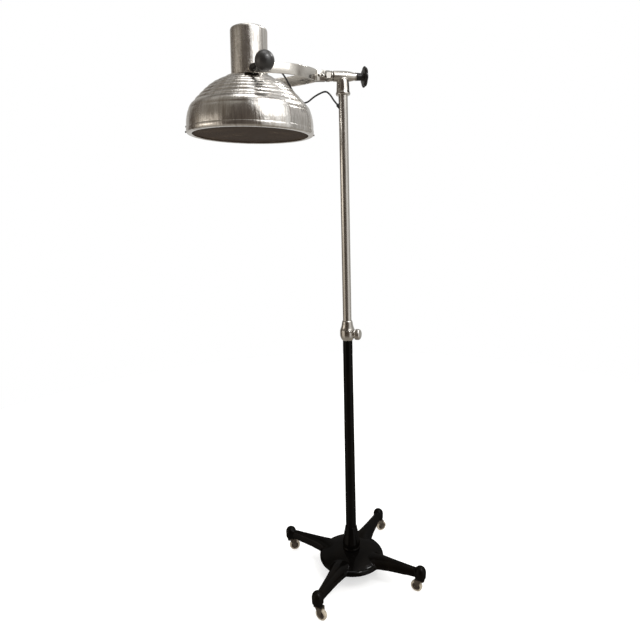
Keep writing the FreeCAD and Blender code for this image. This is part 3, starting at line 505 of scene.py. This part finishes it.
# ---- stand -------------------------------------------------------------
# cross-sections of a leg in millimetres: reach, width, underside, shoulder, crest
LEG_SECTIONS = ((60, 62, 62, 66, 75), (90, 64, 50.5, 56, 80.5), (99, 58, 50.5, 57, 81.2),
                (108, 52, 50.5, 57.5, 81.5), (120, 47, 50.8, 58.3, 81.6), (132, 43, 51, 59, 81.5),
                (150, 38, 51.5, 60, 81), (170, 33.5, 52, 60.5, 80.5), (198, 28, 53, 61.3, 79.8))
LEG_TIP = (23, 54, 62, 79)   # the last section, inside the boss
LEG_TIP_BACK = 6             # from the boss's axis back to that section
BOSS_R = 17.5
BOSS_DOME_Z = 71             # where the boss's wall turns into its dome


def leg_ring(reach, width, low, shoulder, top, angle):
    """One cross-section of a leg, turned to the leg's angle."""
    half = width / 2.0
    points = [(-half, low), (half, low), (half, shoulder)]
    for step in range(1, 12):
        bow = math.pi * step / 12
        points.append((half * math.cos(bow), shoulder + (top - shoulder) * math.sin(bow)))
    points.append((-half, shoulder))
    turn = Matrix.Rotation(math.radians(angle), 3, "Z")
    return [turn @ Vector((reach * MM, y * MM, z * MM)) for y, z in points]


def add_base():
    """Domed disc, legs and bosses as one casting."""
    inner = COLUMN_R - 1
    disc = [(inner, 54), (26, 54), (26, 70)] + bowed((26, 70), (93, 58), 2.6)
    disc += [(95, 50), (104, 50), (104, 56)] + bowed((104, 56), (96.5, 65.5), -1.6, 4)
    disc += bowed((96.5, 65.5), (26, 82), -2.6) + [(inner, 82)]
    meshes = [lathe_mesh(disc, 192)]
    boss = rounded([(0, 47), (13.5, 47, 3), (17.2, 51, 3), (BOSS_R, BOSS_DOME_Z, 1)])
    for step in range(1, 10):
        rise = step * math.pi / 20
        boss.append((BOSS_R * math.cos(rise), BOSS_DOME_Z + BOSS_R * math.sin(rise)))
    boss.append((0, BOSS_DOME_Z + BOSS_R))
    for number in range(1, LEG_COUNT + 1):
        place = JOINTS[f"caster_swivel_{number}"]["pos_m"]
        angle = math.degrees(math.atan2(place[1], place[0]))
        spot = Vector(place)
        tip = (spot.xy.length / MM - LEG_TIP_BACK, *LEG_TIP)
        meshes.append(grid_mesh([leg_ring(*section, angle) for section in (*LEG_SECTIONS, tip)]))
        meshes.append(lathe_mesh(boss, 48, spot=(spot.x, spot.y, 0)))
    piece = cast("base_casting_cast", meshes, 0.0017, 6)
    dress(piece, "stand", "enamel", "black_iron", "base_casting")


def add_column():
    """Bell on the disc, and the tube that tapers from the bell to the collar."""
    low, high = size("hub_neck")
    bottom, top = low.z, high.z
    column_low, column_high = size("column_tube")
    foot, end = column_low.z, column_high.z
    foot_r, r = column_high.x, COLUMN_R
    neck = rounded([(r, bottom), (27.0, bottom, 1), (28.3, bottom + 3.5, 2), (27.2, bottom + 7, 1),
                    (26.0, bottom + 8.4, 1), (26.0, bottom + 9.8, 1), (27.3, bottom + 11.4, 1.5),
                    (27.7, bottom + 16, 3)], 4)
    neck += bowed((27.3, bottom + 20), (20.4, top - 12), -0.8, 10)
    neck += rounded([(20.4, top - 12), (19.2, top - 3.5, 3), (foot_r + 0.9, top, 1), (foot_r, top)], 4)[1:]
    dress(make("hub_bell", lathe_mesh(neck, 128)), "stand", "enamel", "black_iron", "hub_neck")
    tube = rounded([(r - 1.3, foot), (r - 0.4, foot, 0.3), (r, foot + 0.4, 0.3)], 3)
    tube += [Vector((r, bottom + 18)), Vector((foot_r, bottom + 21)), Vector((foot_r, top - 2))]
    taper_start, taper_end = Vector((foot_r, top)), Vector((r, size("collar_body")[0].z))
    steps = 24
    tube += [taper_start.lerp(taper_end, step / steps) for step in range(steps + 1)]
    tube += rounded([(r, end - 0.6), (r - 0.3, end, 0.3), (r - 1.3, end)], 3)
    dress(make("column", lathe_mesh(tube, 128)), "stand", "enamel_tube", "black_tube", "column_tube")


def add_collar():
    """Clamp collar in two halves, and its fluted knob."""
    bottom = size("collar_body")[0].z
    cap_low, cap_high = size("collar_cap")
    seam, top = cap_low.z, cap_high.z
    axis = Vector(JOINTS["collar_clamp"]["axis"])
    knob_z = JOINTS["collar_clamp"]["pos_m"][2] / MM
    body = [(14.3, bottom), (15.4, bottom), (15.9, bottom + 0.5)]
    body += bowed((15.9, bottom + 0.5), (22.4, bottom + 21), -2.0, 10)
    body += bowed((22.4, bottom + 21), (21.8, seam - 1.0), -0.25, 5) + [(21.3, seam), (14.3, seam)]
    core = lathe_mesh(body, 160)
    lug = rounded([(0, 0), (12.0, 0), (12.0, 9.2, 1.2), (9.5, 9.6, 0.6), (0, 9.6)], 5)
    lug_start = 0.0148       # metres from the column's axis, as grip_start is
    boss = lathe_mesh(lug, 96, axis=axis, spot=(axis.x * lug_start, axis.y * lug_start, knob_z * MM))
    piece = cast("collar_lower", [core, boss], 0.0005, 5)
    dress(piece, "stand", "chrome", "bright_metal", "collar_body")
    cap = [(14.3, seam + 0.35), (20.6, seam + 0.35), (21.2, seam + 0.9)]
    cap += bowed((21.2, seam + 0.9), (16.2, top - 8), 0.75, 10)
    cap += rounded([(16.2, top - 8), (15.3, top - 2.5, 2), (13.9, top, 0.8), (13.0, top, 0.2),
                    (13.0, top - 6)], 4)[1:]
    dress(make("collar_upper", lathe_mesh(cap, 160)), "stand", "chrome", "bright_metal", "collar_cap")
    grip = rounded([(0, 0), (12.8, 0, 0.6), (16.0, 1.0, 1.2), (16.4, 3.0, 0.6), (16.4, 10.0, 1.0),
                    (15.2, 13.6, 2.4), (11.0, 16.6, 3.0), (0, 17)], 6)
    flutes, flute_depth = 28, 0.022

    def fluted(angle, index):
        """Flutes on the wall only, not on the faces."""
        edge = 1.0 if 6 < index < len(grip) - 14 else 0.0
        return 1.0 - flute_depth * edge * (0.5 + 0.5 * math.cos(angle * flutes))

    grip_start = 0.025
    spot = (axis.x * grip_start, axis.y * grip_start, knob_z * MM)
    knob = lathe_mesh(grip, 224, axis=axis, spot=spot, swell=fluted)
    dress(make("collar_grip", knob, 50), "clamp_knob", "chrome", "bright_metal", "collar_knob")


# ---- mast and fork -----------------------------------------------------
def add_mast():
    """Bright tube and the cast tee on top of it."""
    low, high = size("mast_tube")
    r = high.x
    steps = 40
    tube = [Vector((r - 1.5, low.z)), Vector((r, low.z))]
    tube += [Vector((r, low.z + 1 + (high.z - low.z - 2) * step / steps)) for step in range(steps + 1)]
    tube += [Vector((r, high.z)), Vector((r - 1.5, high.z))]
    dress(make("mast", lathe_mesh(tube, 128)), "mast", "tube", "bright_metal", "mast_tube")
    low, high = size("mast_tee")
    bottom, top = low.z, FORK_Z / MM
    socket = rounded([(12.8, bottom), (18.6, bottom, 0.8), (20.4, bottom + 4.2, 3.4),
                      (18.4, bottom + 8.6, 0.8), (17.9, bottom + 10, 0.6), (17.0, bottom + 31, 4),
                      (15.3, bottom + 40, 4), (10, top - 2), (0, top - 2)], 6)
    socket_mesh = lathe_mesh([Vector((0, bottom))] + socket[1:], 128)
    length = high.x - low.x
    barrel = rounded([(0, 0), (13.4, 0, 0.9), (14.0, 20, 8), (13.5, 38, 6), (12.2, 50, 6),
                      (9.9, length - 4, 2), (9.7, length, 0.8), (0, length)], 6)
    barrel_mesh = lathe_mesh(barrel, 128, axis=(1, 0, 0), spot=(low.x * MM, 0, FORK_Z))
    piece = cast("tee_casting", [socket_mesh, barrel_mesh], 0.0006, 8)
    dress(piece, "mast", "chrome", "bright_metal", "mast_tee")


ARM_WIDEST_X = -90           # millimetres, as the arms' other sizes; they narrow both ways from here
ARM_HALF_WIDTH = 14.5
ARM_END_R = 11.5             # half the width at the pivot, and the radius of the round end
ARM_HALF_THICK = 2.0


def arm_line():
    """Middle line of a fork arm in plan, from the tongue to the pivot, in millimetres."""
    pivot_x = PIVOT.x / MM
    plan = ((-50, 6), (-71, 6), (-83, 17), (-103, 37), (-132, 60), (-165, 77), (-200, 86), (-228, 88),
            (pivot_x, 88), (pivot_x - 7, 88), (pivot_x - 11.3, 88))
    knots = [Vector(point) for point in plan]
    steps = 8
    line = []
    for index in range(len(knots) - 1):
        before = knots[max(index - 1, 0)]
        a, b = knots[index], knots[index + 1]
        after = knots[min(index + 2, len(knots) - 1)]
        for step in range(steps):
            t = step / steps
            line.append(0.5 * (2 * a + (b - before) * t + (2 * before - 5 * a + 4 * b - after) * t ** 2
                               + (3 * a - before - 3 * b + after) * t ** 3))
    line.append(knots[-1])
    return line


def arm_section(half):
    """Cross-section of a fork arm with soft corners: (thickness, height) offsets in millimetres."""
    soft = min(1.3, half * 0.5)
    section = []
    for sign_t, sign_z in ((1, 1), (-1, 1), (-1, -1), (1, -1)):
        for step in range(4):
            turn = math.pi / 2 * step / 3
            if sign_t * sign_z < 0:
                turn = math.pi / 2 - turn
            section.append((sign_t * (ARM_HALF_THICK - soft + soft * math.cos(turn)),
                            sign_z * (half - soft + soft * math.sin(turn))))
    return section


def add_arms():
    """The two bent straps of the fork; side is -1 for the near one and 1 for the far one."""
    line = arm_line()
    pivot_x = PIVOT.x / MM
    for name, side, node in (("fork_arm_near", -1, "yoke_arm_near"), ("fork_arm_far", 1, "yoke_arm_far")):
        rings = []
        for index, spot in enumerate(line):
            ahead = (line[min(index + 1, len(line) - 1)] - line[max(index - 1, 0)]).normalized()
            across = Vector((-ahead.y, ahead.x))
            along = min(max((ARM_WIDEST_X - spot.x) / (ARM_WIDEST_X - pivot_x), 0), 1)
            middle = (FORK_Z * (1 - along) + PIVOT.z * along) / MM
            half = ARM_HALF_WIDTH - (ARM_HALF_WIDTH - ARM_END_R) * along
            half -= max(0, (spot.x - ARM_WIDEST_X) / 40)
            past = pivot_x - spot.x
            if past > 0:
                half = math.sqrt(max(ARM_END_R ** 2 - past ** 2, 1.0))
            ring = []
            for t, z in arm_section(half):
                flat = spot + across * t
                ring.append(Vector((flat.x, flat.y * side, middle + z)) * MM)
            rings.append(ring)
        piece = make(name, grid_mesh(rings), 50)
        dress(piece, "yoke", "arm", "bright_metal", node)


def add_star():
    """Lobed knob on a long hub."""
    low, high = size("star_knob")
    inner, outer = 56.0, high.x
    lobes, lobe_depth = 7, 0.125
    disc = rounded([(0, 0), (13, 0, 1), (22.6, 0.4, 3), (26.6, 2.8, 3), (27.4, 5.0, 2), (26.6, 7.3, 3),
                    (22.0, 9.8, 3), (14.6, 10.2, 2), (13.3, 11.4, 1.5), (0, outer - inner)], 5)

    def lobed(angle, index):
        """Notches that fade out towards the hub."""
        wave = 0.5 + 0.5 * math.cos(angle * lobes)
        reach = min(max((disc[index][0] - 14.0) / 13.0, 0.0), 1.0)
        return 1.0 - lobe_depth * reach * wave ** 1.6

    face = lathe_mesh(disc, 280, axis=(1, 0, 0), spot=(inner * MM, 0, FORK_Z), swell=lobed)
    length = inner - low.x
    hub = rounded([(6.05, 0), (9.2, 0, 0.6), (10.0, 2, 1), (9.4, length - 5, 3), (10.6, length - 1.2, 1),
                   (13.5, length + 0.6), (6.05, length + 0.6)], 4)
    stem = lathe_mesh(hub, 96, axis=(1, 0, 0), spot=(low.x * MM, 0, FORK_Z))
    dress(make("star_grip", merged([face, stem]), 60), "star", "bakelite", "black_knob", "star_knob")


# ---- lamp head ---------------------------------------------------------
RIM_Z = 1363.5               # underside of the rim ring, in millimetres before the head leans
HOUSING_TOP = 1624.0
HOUSING_FOOT = 1504.2
HOUSING_R = 47.5
SHELL_WALL = 1.5
# outside of the dome from the housing down, in millimetres: radius, height
RIBS = ((61, 1503.2), (76, 1496.5), (89, 1490), (101, 1482.5), (112, 1473.5), (122.5, 1463.5), (133, 1453),
        (144, 1441.5))
BAND = ((159.3, 1420.2), (160.6, 1418.2), (162.4, 1412.5), (164.2, 1405.0), (165.5, 1397.0), (166.2, 1388.0),
        (166.3, 1379.0), (166.3, RIM_Z + 4))
HEAD_SPOT = (PIVOT.x, PIVOT.y, 0)    # metres; the head's axis stands here before it leans


def add_dome():
    """Ribbed shell with shallow dents."""
    outer = [Vector((47.6, 1504.6)), Vector((58, 1504.3)), Vector((60.2, 1503.8))]
    for a, b in zip(RIBS, RIBS[1:]):
        outer += bowed(a, b, 2.2, 8)
    outer += bowed(RIBS[-1], (159.3, 1421.5), 2.6, 9)
    outer += [Vector(point) for point in BAND]
    inner = []
    for index in range(len(outer) - 1, -1, -1):
        way = outer[min(index + 1, len(outer) - 1)] - outer[max(index - 1, 0)]
        side = Vector((way.y, -way.x)).normalized()
        inner.append(outer[index] + side * SHELL_WALL)
    shell = outer + inner

    def dented(angle, index):
        """Broad dents about 0.35 mm deep and small ones about 0.14 mm deep."""
        radius, height = shell[index]
        spot = Vector((math.cos(angle) * 2.2, math.sin(angle) * 2.2, height * 0.02))
        return 1.0 + noise.noise(spot) * 0.35 / radius + noise.noise(spot * 3.1) * 0.14 / radius

    dome = lathe_mesh(shell, 256, spot=HEAD_SPOT, swell=dented)
    dress(lean(make("dome", dome, 42)), "head", "spun", "spun_shell", "dome_shell")


def add_housing():
    """Tall can above the dome, a little out of round."""
    can = rounded([(46, HOUSING_FOOT), (HOUSING_R, HOUSING_FOOT, 0.3), (HOUSING_R, HOUSING_TOP, 8.0),
                   (0, HOUSING_TOP)], 10)
    wall = divided(can, 50, 16)

    def pressed(angle, index):
        """Waves about 0.2 mm deep."""
        spot = Vector((math.cos(angle) * 1.5, math.sin(angle) * 1.5, wall[index][1] * 0.012))
        return 1.0 + noise.noise(spot) * 0.004

    housing = lathe_mesh(wall, 192, spot=HEAD_SPOT, swell=pressed)
    dress(lean(make("housing", housing, 42)), "head", "spun", "spun_shell", "socket_housing")


def add_rim():
    """Rolled rim ring and the filter pane that it holds."""
    lip = rounded([(152.7, RIM_Z + 1.4), (153.6, RIM_Z + 0.1, 0.6), (160.8, RIM_Z, 1.0),
                   (165.9, RIM_Z + 1.6, 2.0), (167.4, RIM_Z + 6.8, 3.0), (167.3, RIM_Z + 11.4, 2.0),
                   (166.8, RIM_Z + 13.9, 0.8), (166.4, RIM_Z + 13.9), (166.4, RIM_Z + 4.2),
                   (153.0, RIM_Z + 3.2)], 6)
    rim = lathe_mesh(lip, 256, spot=HEAD_SPOT)
    dress(lean(make("rim", rim, 42)), "head", "spun", "bright_metal", "rim_ring")
    low, high = RIM_Z + 3.3, RIM_Z + 7.1
    glass = rounded([(0, low), (160.4, low, 0.5), (160.9, RIM_Z + 5, 0.5), (160.4, high, 0.5), (0, high)], 4)
    pane = lathe_mesh(divided(glass, 20, 40), 192, spot=HEAD_SPOT)
    dress(lean(make("filter_pane", pane, 42)), "head", "glass", "filter", "filter_glass")


def ball_profile(radius):
    """Moulded ball with a fine seam at its middle and a flat where the neck enters."""
    steps, seam, flat = 64, 0.12, 0.93 * radius
    profile = [Vector((0, -radius * 0.985))]
    for step in range(1, steps):
        angle = math.pi * step / steps
        r, z = radius * math.sin(angle), -radius * math.cos(angle)
        r += seam * max(2 - abs(step - steps / 2), 0)
        if z < -flat:
            z = -flat - (abs(z) - flat) * 0.3
        profile.append(Vector((r, z)))
    return profile + [Vector((0, radius))]


def add_lever():
    """Ball on a tapered neck that leans out from the near pivot."""
    low, high = size("ball_knob")
    middle = (low + high) / 2 * MM
    radius = (high.x - low.x) / 2
    hub_high = size("lever_neck")[1]
    start = Vector((PIVOT.x, hub_high.y * MM - 0.006, PIVOT.z))
    axis = (middle - start).normalized()
    length = (middle - start).length / MM
    piece = make("ball_grip", lathe_mesh(ball_profile(radius), 128, axis=axis, spot=middle), 70)
    dress(piece, "lever", "ball", "black_knob", "ball_knob")
    reach = length - radius
    shank = rounded([(0, -3), (7.2, -2.5, 1.5), (7.0, 1.5, 1.5), (5.6, reach - 4, 3), (6.8, reach - 1.5, 1),
                     (6.8, reach + 1.5), (0, reach + 1.5)], 6)
    neck = lathe_mesh(shank, 64, axis=axis, spot=start)
    hub = rounded([(0, 0), (7.6, 0, 0.8), (8.0, 1, 0.6), (8.0, 9, 1.2), (6.5, 10, 1), (0, 10)], 5)
    base = lathe_mesh(hub, 64, axis=(0, -1, 0), spot=(PIVOT.x, hub_high.y * MM, PIVOT.z))
    piece = cast("lever_shank", [neck, base], 0.0005, 6)
    dress(piece, "lever", "bakelite", "black_knob", "lever_neck")


# ---- casters -----------------------------------------------------------
# profile of half a wheel in millimetres: radius, distance from its middle plane, softness
WHEEL_SIDE = ((5.4, 7.3, 0.5), (5.6, 4.6, 0.4), (12.0, 4.5, 0.5), (12.6, 6.6, 0.5), (15.8, 6.4, 1.4),
              (17.7, 3.6, 1.4))
HUB_R = 0.0122               # metres; the brown hub reaches out to here


def add_casters():
    """Ivory wheels with brown hubs."""
    side = [(2.6, -7.3)] + [(r, -away, soft) for r, away, soft in WHEEL_SIDE]
    side += [(18.0, 0, 1.5), *reversed(WHEEL_SIDE), (2.6, 7.3)]
    for number in range(1, LEG_COUNT + 1):
        spin = JOINTS[f"wheel_spin_{number}"]
        spot, axis = Vector(spin["pos_m"]), Vector(spin["axis"])
        wheel = lathe_mesh(rounded(side, 3), 72, axis=axis, spot=spot)
        piece = make(f"wheel_{number}", wheel, 50)
        dress(piece, f"wheel_{number}", ("ivory", "wheel_hub"), "wheel_ivory", f"caster_wheel_{number}")
        for face in piece.data.polygons:
            away = face.center - spot
            away -= axis * away.dot(axis)
            face.material_index = 1 if away.length < HUB_R else 0


add_base()
add_column()
add_collar()
add_mast()
add_arms()
add_star()
add_dome()
add_housing()
add_rim()
add_lever()
add_casters()

# ---- CAD nodes that show as they are ------------------------------------
FINISH = {
    "column_nut": "steel", "column_washer": "steel", "caster_sleeves": "steel", "guide_bush": "fibre",
    "clamp_pad": "brass", "collar_screw": "steel", "mast_foot": "brass", "mast_bushing": "rubber",
    "yoke_spindle": "steel", "fibre_washer": "fibre", "thrust_ring": "chrome", "yoke_nut": "chrome",
    "end_washer": "chrome", "yoke_rivets": "chrome", "arm_washers": "chrome", "tilt_bracket": "chrome",
    "bracket_screws": "chrome", "top_screws": "chrome", "pivot_bolts": "steel", "far_nut": "chrome",
    "rim_screws": "steel", "glass_gasket": "rubber", "reflector": "reflector", "lamp_socket": "ceramic",
    "socket_strap": "steel", "bulb_cap": "brass", "bulb_glass": "bulb", "cord_gland": "rubber",
}
for number in range(1, LEG_COUNT + 1):
    FINISH[f"caster_fork_{number}"] = "steel"
    FINISH[f"caster_axle_{number}"] = "steel"
for node, finish in FINISH.items():
    NODES[node].data.materials.clear()
    NODES[node].data.materials.append(MATERIALS[finish])


# ---- stage and light ---------------------------------------------------
def add_floor():
    """Pale round floor, bright enough to lose most of its shadows; it isn't seen in reflections."""
    mesh = bmesh.new()
    bmesh.ops.create_circle(mesh, cap_ends=True, segments=96, radius=2.6)
    floor = make("floor", mesh)
    shader = Shader("pale_floor", Roughness=0.9, Specular_IOR_Level=0.1, Emission_Strength=0.5)
    tone = shader.mix(shader.noise(shader.place((2, 2, 2))), (0.60, 0.60, 0.595), (0.63, 0.63, 0.63))
    floor.data.materials.append(shader.out(Base_Color=tone))
    floor.visible_glossy = False
    floor.visible_diffuse = False


def add_light(name, azimuth, elevation, distance, width, height, power, colour=(1, 1, 1)):
    """Soft panel that faces the lamp: angles in degrees, lengths in metres, power in watts."""
    target = Vector((-0.12, 0, 0.95))
    a, e = math.radians(azimuth), math.radians(elevation)
    way = Vector((math.cos(a) * math.cos(e), math.sin(a) * math.cos(e), math.sin(e)))
    data = bpy.data.lights.new(name, "AREA")
    data.shape = "RECTANGLE"
    data.size = width
    data.size_y = height
    data.energy = power
    data.color = colour
    light = placed(name, data)
    turn = way.to_track_quat("Z", "Y").to_matrix().to_4x4()
    light.matrix_world = Matrix.Translation(target + way * distance) @ turn
    light.visible_camera = False


# colours of the room in reflections: degrees from +X, then red, green and blue
ROOM_LOW = ((0, (0.46, 0.45, 0.43)), (40, (0.46, 0.45, 0.43)), (55, (0.70, 0.69, 0.67)),
            (90, (0.66, 0.65, 0.63)), (122, (0.50, 0.48, 0.45)), (130, (0.07, 0.05, 0.035)),
            (152, (0.07, 0.05, 0.035)), (160, (0.50, 0.45, 0.38)), (205, (0.74, 0.67, 0.58)),
            (214, (0.06, 0.04, 0.027)), (240, (0.055, 0.04, 0.028)), (283, (0.12, 0.095, 0.075)),
            (292, (0.72, 0.70, 0.67)), (338, (0.85, 0.84, 0.82)), (345, (0.14, 0.12, 0.10)),
            (354, (0.50, 0.49, 0.47)))
ROOM_HIGH = ((0, (0.62, 0.61, 0.59)), (55, (0.55, 0.54, 0.52)), (90, (0.50, 0.49, 0.47)),
             (120, (0.36, 0.34, 0.31)), (135, (0.09, 0.07, 0.055)), (165, (0.22, 0.195, 0.165)),
             (215, (0.17, 0.145, 0.115)), (240, (0.07, 0.052, 0.04)), (275, (0.10, 0.08, 0.065)),
             (297, (0.80, 0.79, 0.77)), (337, (0.90, 0.89, 0.87)), (346, (0.42, 0.40, 0.38)))
ROOM_TOP = ((0, (0.55, 0.54, 0.53)), (30, (0.85, 0.84, 0.83)), (60, (0.40, 0.39, 0.37)),
            (120, (0.10, 0.085, 0.07)), (160, (0.50, 0.48, 0.45)), (200, (0.22, 0.20, 0.17)),
            (240, (0.30, 0.28, 0.25)), (262, (0.08, 0.065, 0.05)), (285, (0.75, 0.74, 0.72)),
            (315, (1.0, 1.0, 0.99)), (330, (0.30, 0.28, 0.26)))
ROOM_GROUND = (0.34, 0.31, 0.27, 1)
FILL_STRENGTH = 1.2


def add_world():
    """White to the eye, an even fill for matt surfaces, and a warm room in reflections."""
    world = bpy.data.worlds.new("studio")
    world.use_nodes = True
    tree = world.node_tree
    tree.nodes.clear()
    seat = add_node(tree, "TexCoord")
    parts = add_node(tree, "SeparateXYZ", {0: seat.outputs["Generated"]})
    x, y, height = parts.outputs
    angle = add_node(tree, "Math", {0: y, 1: x}, operation="ARCTAN2")
    turn = add_node(tree, "Math", {0: angle.outputs[0], 1: 1 / math.tau}, operation="MULTIPLY")
    wrap = add_node(tree, "Math", {0: turn.outputs[0], 1: 1.0, 2: 0.0}, operation="WRAP")
    path = add_node(tree, "LightPath")

    def ring(stops):
        """Colours by the direction seen from above."""
        node = add_node(tree, "ValToRGB", {0: wrap.outputs[0]})
        elements = node.color_ramp.elements
        while len(elements) < len(stops):
            elements.new(0.5)
        for element, (at, colour) in zip(elements, stops):
            element.position = at / 360
            element.color = (*colour, 1)
        return node.outputs[0]

    def blended(start, end, a, b):
        """Colour a where the height, a sine of elevation, is at start, and b where it is at end."""
        factor = add_node(tree, "MapRange", {0: height, 1: start, 2: end, 3: 0.0, 4: 1.0})
        return add_node(tree, "Mix", {0: factor.outputs[0], 6: a, 7: b}, data_type="RGBA").outputs[2]

    def shown_to(rays, a, b):
        """Background b to one kind of ray, and a to the others."""
        return add_node(tree, "MixShader", {0: path.outputs[rays], 1: a, 2: b}).outputs[0]

    wall = blended(0.20, 0.34, ring(ROOM_LOW), ring(ROOM_HIGH))
    sky = blended(0.60, 0.80, wall, ring(ROOM_TOP))
    room = add_node(tree, "Background", {"Color": blended(-0.25, -0.75, sky, ROOM_GROUND), "Strength": 1.0})
    plain = add_node(tree, "Background", {"Color": (1, 1, 1, 1), "Strength": 1.0})
    fill = add_node(tree, "Background", {"Color": (1, 0.99, 0.97, 1), "Strength": FILL_STRENGTH})
    unseen = shown_to("Is Glossy Ray", fill.outputs[0], room.outputs[0])
    add_node(tree, "OutputWorld", {0: shown_to("Is Camera Ray", unseen, plain.outputs[0])})
    bpy.context.scene.world = world


add_floor()
# name, azimuth, elevation, distance, width, height, power and colour
add_light("key", 303, 42, 2.6, 1.9, 1.7, 18)
add_light("spark", 300, 50, 2.6, 0.3, 0.3, 12)
add_light("spark_right", 16, 50, 2.6, 0.36, 0.36, 12)
add_light("window", 185, 10, 2.6, 1.0, 0.6, 2.5, (1.0, 0.92, 0.82))
add_light("top", 250, 84, 2.4, 1.0, 1.0, 8)
add_world()
bpy.context.scene.view_settings.view_transform = "Standard"
